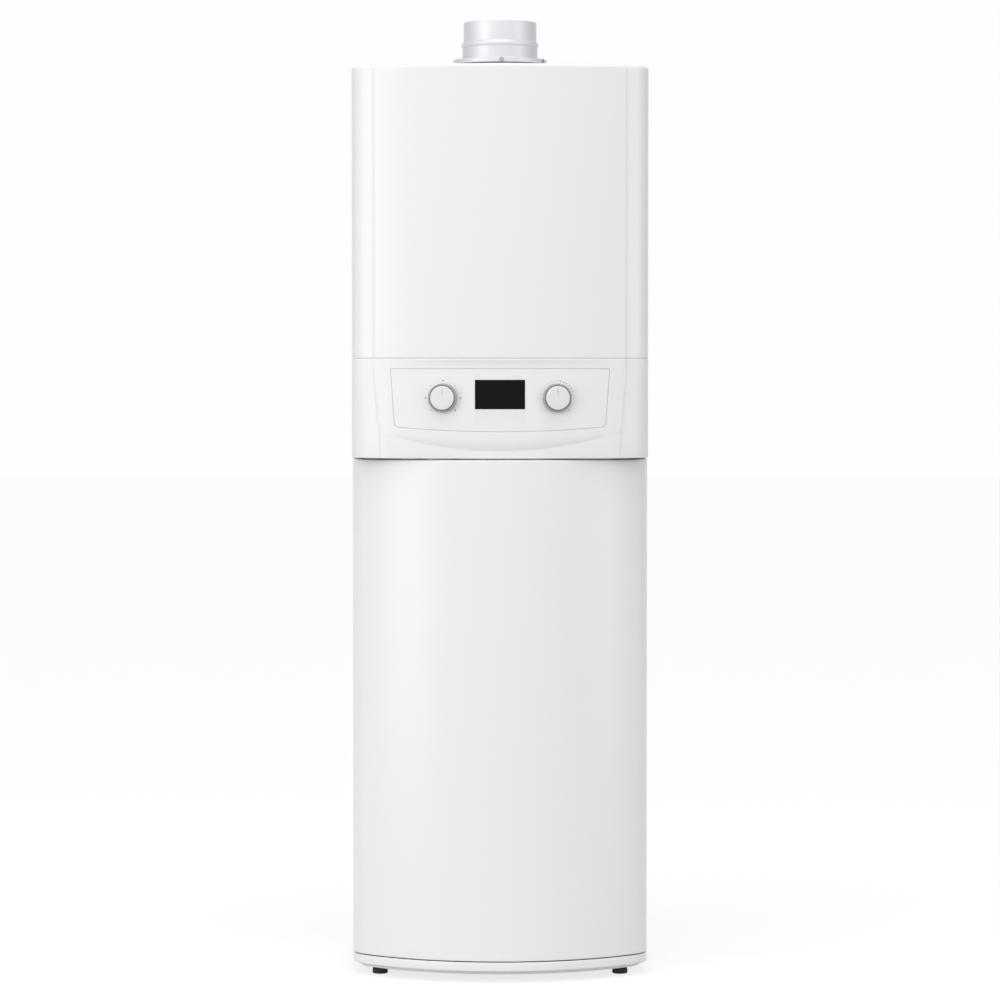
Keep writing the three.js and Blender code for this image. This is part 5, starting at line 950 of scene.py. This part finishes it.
# %% Flue adapter
outside = [
    (SOCKET, 0.0),
    (FLANGE_RADIUS - FLANGE_BEVEL, 0.0),
    (FLANGE_RADIUS, FLANGE_BEVEL),
    (FLANGE_RADIUS, FLANGE_TOP - FLANGE_BEVEL),
    (FLANGE_RADIUS - FLANGE_BEVEL, FLANGE_TOP),
    (FOOT_TUBE + FILLET + SUPPORT, FLANGE_TOP),
    (FOOT_TUBE + FILLET, FLANGE_TOP),
    (FOOT_TUBE + 0.3 * FILLET, FLANGE_TOP + 0.3 * FILLET),
    (FOOT_TUBE, FLANGE_TOP + FILLET),
    (FOOT_TUBE, FLANGE_TOP + FILLET + SUPPORT),
    (FOOT_TUBE, BEAD_FOOT - SUPPORT),
    (FOOT_TUBE, BEAD_FOOT),
]
for t in (0.08, 0.2, 0.35, 0.5, 0.65, 0.8, 0.92):
    swell = (BEAD - FOOT_TUBE) * math.sin(math.pi * t) ** BEAD_FULLNESS
    outside.append((FOOT_TUBE + (TUBE - FOOT_TUBE) * t + swell, BEAD_FOOT + BEAD_HEIGHT * t))
outside += [
    (TUBE, BEAD_TOP),
    (TUBE, BEAD_TOP + SUPPORT),
    (TUBE, RIM - RIM_BEND - SUPPORT),
    (TUBE, RIM - RIM_BEND),
    (TUBE - 0.0003, RIM),
    (SOCKET + 0.0002, RIM),
    (SOCKET, RIM - 0.0004),
]
adapter = add_object(
    "flue_adapter_skin", turned(outside, FLUE_AXIS, 128), FLUE_PAINT, "frame", 40.0
)
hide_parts("flue_adapter")
print("flue adapter made")

# %% Screws of the flange
SCREW_HEAD = ((0.0, -0.001), (0.0042, -0.001), (0.0042, 0.0010), (0.0034, 0.0019), (0.0, 0.0021))
SCREW_ANGLES = (-88, -25, 152)  # degrees, -90 faces the front
SCREW_SEAT = 0.0803  # radius at which a head sits on the flange's edge
screws = bmesh.new()
for degrees in SCREW_ANGLES:
    angle = math.radians(degrees)
    out = Vector((math.cos(angle), math.sin(angle), 0.0))
    seat = Vector((0.0, FLUE_Y, FLANGE_Z + FLANGE_TOP / 2)) + SCREW_SEAT * out
    head = turned(SCREW_HEAD, outward_frame(out, seat), 24)
    mesh = bpy.data.meshes.new("head")
    head.to_mesh(mesh)
    head.free()
    screws.from_mesh(mesh)
    bpy.data.meshes.remove(mesh)
screw_heads = add_object("flue_screws", screws, STEEL_SCREW, "frame")
print("flange screws made:", len(SCREW_ANGLES))

# %% Inner flue pipe
inner_low, inner_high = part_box("flue_inner_pipe")
INNER_BORE, INNER_RADIUS = 0.0388, 0.0400
inner_pipe = [
    (INNER_BORE, inner_low[2]),
    (INNER_RADIUS, inner_low[2]),
    (INNER_RADIUS, inner_high[2] - 0.0004),
    (INNER_RADIUS - 0.0003, inner_high[2]),
    (INNER_BORE + 0.0003, inner_high[2]),
    (INNER_BORE, inner_high[2] - 0.0004),
]
pipe = turned(inner_pipe, Matrix.Translation((0.0, FLUE_Y, 0.0)))
inner = add_object("flue_inner_skin", pipe, DRAWN_ALUMINIUM, "frame")
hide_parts("flue_inner_pipe")
print("inner flue pipe made")

# %% [markdown]
# ## Plinth and feet
# The casing stands on a shallow tray of enamelled steel: a band as wide as the casing, and
# under it a lip, set back, that leaves a shadow line at the floor. Four levelling feet screw
# into bushes in the tray. The tray is lofted in closed rings, up the outside and down the
# inside, so that it is a real tray with walls. A solid block would hide the feet's studs.

# %% Sizes of the plinth
LIP_INSET, LIP_HEIGHT = 0.0125, 0.006
LIP_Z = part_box("base_tray")[0][2]
BAND_Z, BAND_TOP = LIP_Z + LIP_HEIGHT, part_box("lower_back_panel")[0][2] - 0.0003
TRAY_WALL, TRAY_FLOOR = 0.003, 0.003
LIP_ROUND, BAND_FOOT_ROUND, BAND_HEAD_ROUND = 0.0015, 0.0022, 0.0010
BUSH_RADIUS, BUSH_DEPTH, BUSH_MIDDLE = 0.011, 0.011, 0.0085
HOLE_RADIUS, HOLE_DEPTH = 0.0053, 0.06
FEET = ("front_left", "front_right", "rear_left", "rear_right")


def foot_axis(corner, z):
    """A frame on a foot's axis at a height."""
    low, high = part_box("foot_" + corner)
    return Matrix.Translation(((low[0] + high[0]) / 2, (low[1] + high[1]) / 2, z))


def tray_level(inset, z):
    """A closed ring of the plinth's plan at an inset and height."""
    return [(*p, z) for p in lower_outline(inset, BACK - inset, hem=0.0)]


print(f"plinth from z = {LIP_Z:.4f} to {BAND_TOP:.4f} m")

# %% Plinth skin
tray_rings = [tray_level(LIP_INSET + LIP_ROUND, LIP_Z)]
tray_rings += [tray_level(LIP_INSET + i, LIP_Z + rise) for i, rise in edge_round(LIP_ROUND)]
tray_rings += [tray_level(LIP_INSET, BAND_Z - 0.0006), tray_level(LIP_INSET - 0.0008, BAND_Z)]
tray_rings += [tray_level(i, BAND_Z + rise) for i, rise in edge_round(BAND_FOOT_ROUND)]
tray_rings += [tray_level(i, BAND_TOP - rise) for i, rise in reversed(edge_round(BAND_HEAD_ROUND))]
tray_rings += [tray_level(TRAY_WALL, BAND_TOP), tray_level(TRAY_WALL, BAND_Z + TRAY_WALL)]
tray_rings += [
    tray_level(LIP_INSET + TRAY_WALL, BAND_Z + TRAY_WALL),
    tray_level(LIP_INSET + TRAY_WALL, LIP_Z + TRAY_FLOOR),
]
tray_bm = loft(tray_rings, closed=True)
tray_bm.verts.ensure_lookup_table()
count = len(tray_rings[0])
tray_bm.faces.new(tray_bm.verts[i] for i in range(count))
tray_bm.faces.new(tray_bm.verts[len(tray_bm.verts) - 1 - i] for i in range(count))
tray = add_object("base_tray_skin", tray_bm, WHITE_ENAMEL, None)
for corner in FEET:
    middle = foot_axis(corner, LIP_Z + BUSH_MIDDLE)
    carve(tray, rod(bmesh.new(), middle, BUSH_RADIUS, BUSH_DEPTH, 32), "UNION")
    carve(tray, rod(bmesh.new(), middle, HOLE_RADIUS, HOLE_DEPTH, 32))
tray.data.shade_smooth()
tray.data.set_sharp_from_angle(angle=math.radians(35.0))
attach(tray, "frame")
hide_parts("base_tray")
print("plinth made:", len(tray.data.polygons), "faces")

# %% Feet
FOOT_PROFILE = [  # (radius, height): pad, neck and stud
    (0.0, 0.0),
    (0.0119, 0.0),
    (0.0127, 0.0004),
    (0.0130, 0.0014),
    (0.0130, 0.0080),
    (0.0127, 0.0087),
    (0.0112, 0.0103),
    (0.0100, 0.0108),
    (0.0100, 0.0137),
    (0.0050, 0.0137),
    (0.0050, 0.0474),
    (0.0044, 0.0480),
    (0.0, 0.0480),
]
for corner in FEET:
    foot_bm = turned(FOOT_PROFILE, foot_axis(corner, 0.0), 48)
    foot = add_object(f"foot_{corner}_skin", foot_bm, RUBBER, "foot_" + corner)
    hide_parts("foot_" + corner)
print("feet made")

# %% [markdown]
# ## Finishes of the inner pieces
# Inside stand the heat exchanger, the fan, the pump, the valves, the pipes and the tank. They
# show when the covers slide off. The CAD model has their shapes, so they stay. The record names
# a slot of material for every piece, and one table from slots to finishes dresses them all.
# Only the ignition electrode differs from its slot: its body is ceramic.

# %% Finishes by slot
FINISHES = {
    "white_enamel": WHITE_ENAMEL,
    "white_plastic": WHITE_PLASTIC,
    "zinc_sheet": ZINC,
    "grey_plastic": GREY_PLASTIC,
    "black_plastic": BLACK_PLASTIC,
    "foot_rubber": RUBBER,
    "dark_window": SMOKED,
    "circuit_board": BOARD_GREEN,
    "flue_grey": FLUE_PAINT,
    "aluminium": CAST_ALUMINIUM,
    "stainless_steel": STAINLESS,
    "red_enamel": RED_ENAMEL,
    "red_plastic": RED_PLASTIC,
    "brass": BRASS,
    "blue_enamel": BLUE_ENAMEL,
    "tank_foam": FOAM,
    "copper": COPPER,
}
SPECIAL = {"ignition_electrode": CERAMIC}
for row in frame["record"]["subparts"]:
    node = frame["nodes"][row["node"]]
    finish = SPECIAL.get(row["node"], FINISHES[row["material_slot"]])
    for slot in node.material_slots:
        slot.material = finish

# %% [markdown]
# ## Light, background and floor
# The boiler is photographed in a white studio. Two tall soft boxes stand left and right, the
# left one stronger, and they draw the bright upright bands on the columns. The space before the
# object is bright and the space behind it is dim, so the flanks and the flue's edges turn grey
# and the shape reads. A white background all round would light a white object too much. So only
# camera rays, reflections and glass see it, by way of the Light Path node, and the object keeps
# its plain light.


# %% World
def ramp(tree, value, span, levels):
    """Maps a direction's component from a span to two levels, and holds them outside it."""
    values = {"From Min": span[0], "From Max": span[1], "To Min": levels[0], "To Max": levels[1]}
    return add_node(tree, "ShaderNodeMapRange", {"Value": value}, values).outputs["Result"]


def product(tree, first, second):
    """The product of two values."""
    factors = {0: first, 1: second}
    return add_node(tree, "ShaderNodeMath", factors, operation="MULTIPLY").outputs["Value"]


def background_seen(tree, backdrop=None):
    """1 for camera, glossy and transmission rays; glossy ones only where the backdrop stands."""
    path = add_node(tree, "ShaderNodeLightPath")
    glossy = path.outputs["Is Glossy Ray"]
    if backdrop:
        glossy = product(tree, glossy, backdrop)
    sight = path.outputs["Is Camera Ray"]
    for ray in (glossy, path.outputs["Is Transmission Ray"]):
        either = {0: sight, 1: ray}
        sight = add_node(tree, "ShaderNodeMath", either, operation="MAXIMUM").outputs["Value"]
    return sight


print("world helpers ready")

# %% Studio space
SIDE_LIGHT = (0.94, 0.74)  # left to right
DEPTH_LIGHT = (1.52, 0.06)  # before the object to behind it
HEIGHT_LIGHT = (0.50, 1.10)  # below to above
ALL_ROUND, HORIZON = (-1.0, 1.0), (-0.6, 0.6)
BACKDROP_SPAN = (0.6, 0.9)  # how far behind the object the backdrop starts and is whole
BACKGROUND_WHITE = linear("#FEFEFE")
world = bpy.data.worlds.new("studio")
scene.world = world
world.use_nodes = True
sky = world.node_tree
sky.nodes.clear()
direction = add_node(sky, "ShaderNodeTexCoord").outputs["Generated"]
parts = add_node(sky, "ShaderNodeSeparateXYZ", {"Vector": direction})
level = ramp(sky, parts.outputs["X"], ALL_ROUND, SIDE_LIGHT)
level = product(sky, level, ramp(sky, parts.outputs["Y"], ALL_ROUND, DEPTH_LIGHT))
level = product(sky, level, ramp(sky, parts.outputs["Z"], HORIZON, HEIGHT_LIGHT))
backdrop = ramp(sky, parts.outputs["Y"], BACKDROP_SPAN, (0.0, 1.0))
studio = add_node(sky, "ShaderNodeBackground", {"Strength": level}, {"Color": (1, 1, 1, 1)})
white = add_node(
    sky, "ShaderNodeBackground", values={"Color": BACKGROUND_WHITE, "Strength": 1.0}
)
links = {0: background_seen(sky, backdrop)}
links.update({1: studio.outputs["Background"], 2: white.outputs["Background"]})
choice = add_node(sky, "ShaderNodeMixShader", links)
add_node(sky, "ShaderNodeOutputWorld", {"Surface": choice.outputs["Shader"]})
print("studio space set")


# %% Lamps
AIM = Vector((0.0, 0.0, 0.9))  # the lamps face the middle of the boiler


def soft_box(name, azimuth, distance, height, size, power):
    """A rectangular soft box that stands at an azimuth from the front and faces the object."""
    data = bpy.data.lights.new(name, "AREA")
    data.shape = "RECTANGLE"
    data.size, data.size_y = size
    data.energy = power
    lamp = bpy.data.objects.new(name, data)
    scene.collection.objects.link(lamp)
    angle = math.radians(azimuth)
    place = Vector((distance * math.sin(angle), -distance * math.cos(angle), height))
    lamp.location = place
    lamp.rotation_euler = (AIM - place).to_track_quat("-Z", "Y").to_euler()


soft_box("key", -52.0, 4.0, 1.3, (2.0, 2.6), 37.5)
soft_box("fill", 61.0, 4.0, 1.3, (1.2, 2.6), 17.5)
soft_box("top", 0.0, 0.8, 4.0, (1.6, 1.6), 22.0)
print("lamps set")

# %% [markdown]
# ## Floor
# The floor is a white sheet that runs to the horizon. Lit only by the lamps it would turn grey
# far away. For camera rays, reflections and glass it therefore adds a glow of its own to a
# darker sheet that still takes the boiler's soft shadow. All other rays meet a plain pale grey
# sheet, which sends a little light up from below.

# %% Floor
FLOOR_REACH = 30.0
FLOOR_GLOW, FLOOR_SHADE = 0.76, "#959595"
floor_bm = bmesh.new()
corners = [(-FLOOR_REACH, -FLOOR_REACH), (FLOOR_REACH, -FLOOR_REACH)]
corners += [(FLOOR_REACH, FLOOR_REACH), (-FLOOR_REACH, FLOOR_REACH)]
floor_bm.faces.new([floor_bm.verts.new((x, y, 0.0)) for x, y in corners])
FLOOR_WHITE, floor_tree, floor_shader = new_material("white floor", "#B2B2B2", 0.9)
shade = add_node(floor_tree, "ShaderNodeBsdfDiffuse", values={"Color": linear(FLOOR_SHADE)})
glow = add_node(
    floor_tree, "ShaderNodeEmission", values={"Color": (1, 1, 1, 1), "Strength": FLOOR_GLOW}
)
both = {0: shade.outputs["BSDF"], 1: glow.outputs["Emission"]}
lit = add_node(floor_tree, "ShaderNodeAddShader", both)
links = {0: background_seen(floor_tree), 1: floor_shader.outputs["BSDF"], 2: lit.outputs["Shader"]}
shown = add_node(floor_tree, "ShaderNodeMixShader", links)
output = floor_tree.nodes["Material Output"]
floor_tree.links.new(shown.outputs["Shader"], output.inputs["Surface"])
floor = add_object("floor", floor_bm, FLOOR_WHITE, None)
print("floor laid")

# %% [markdown]
# ## Sizes and finish
# The dressed boiler should fill the same box as the CAD model.

# %% End of the scene
print("scene built")
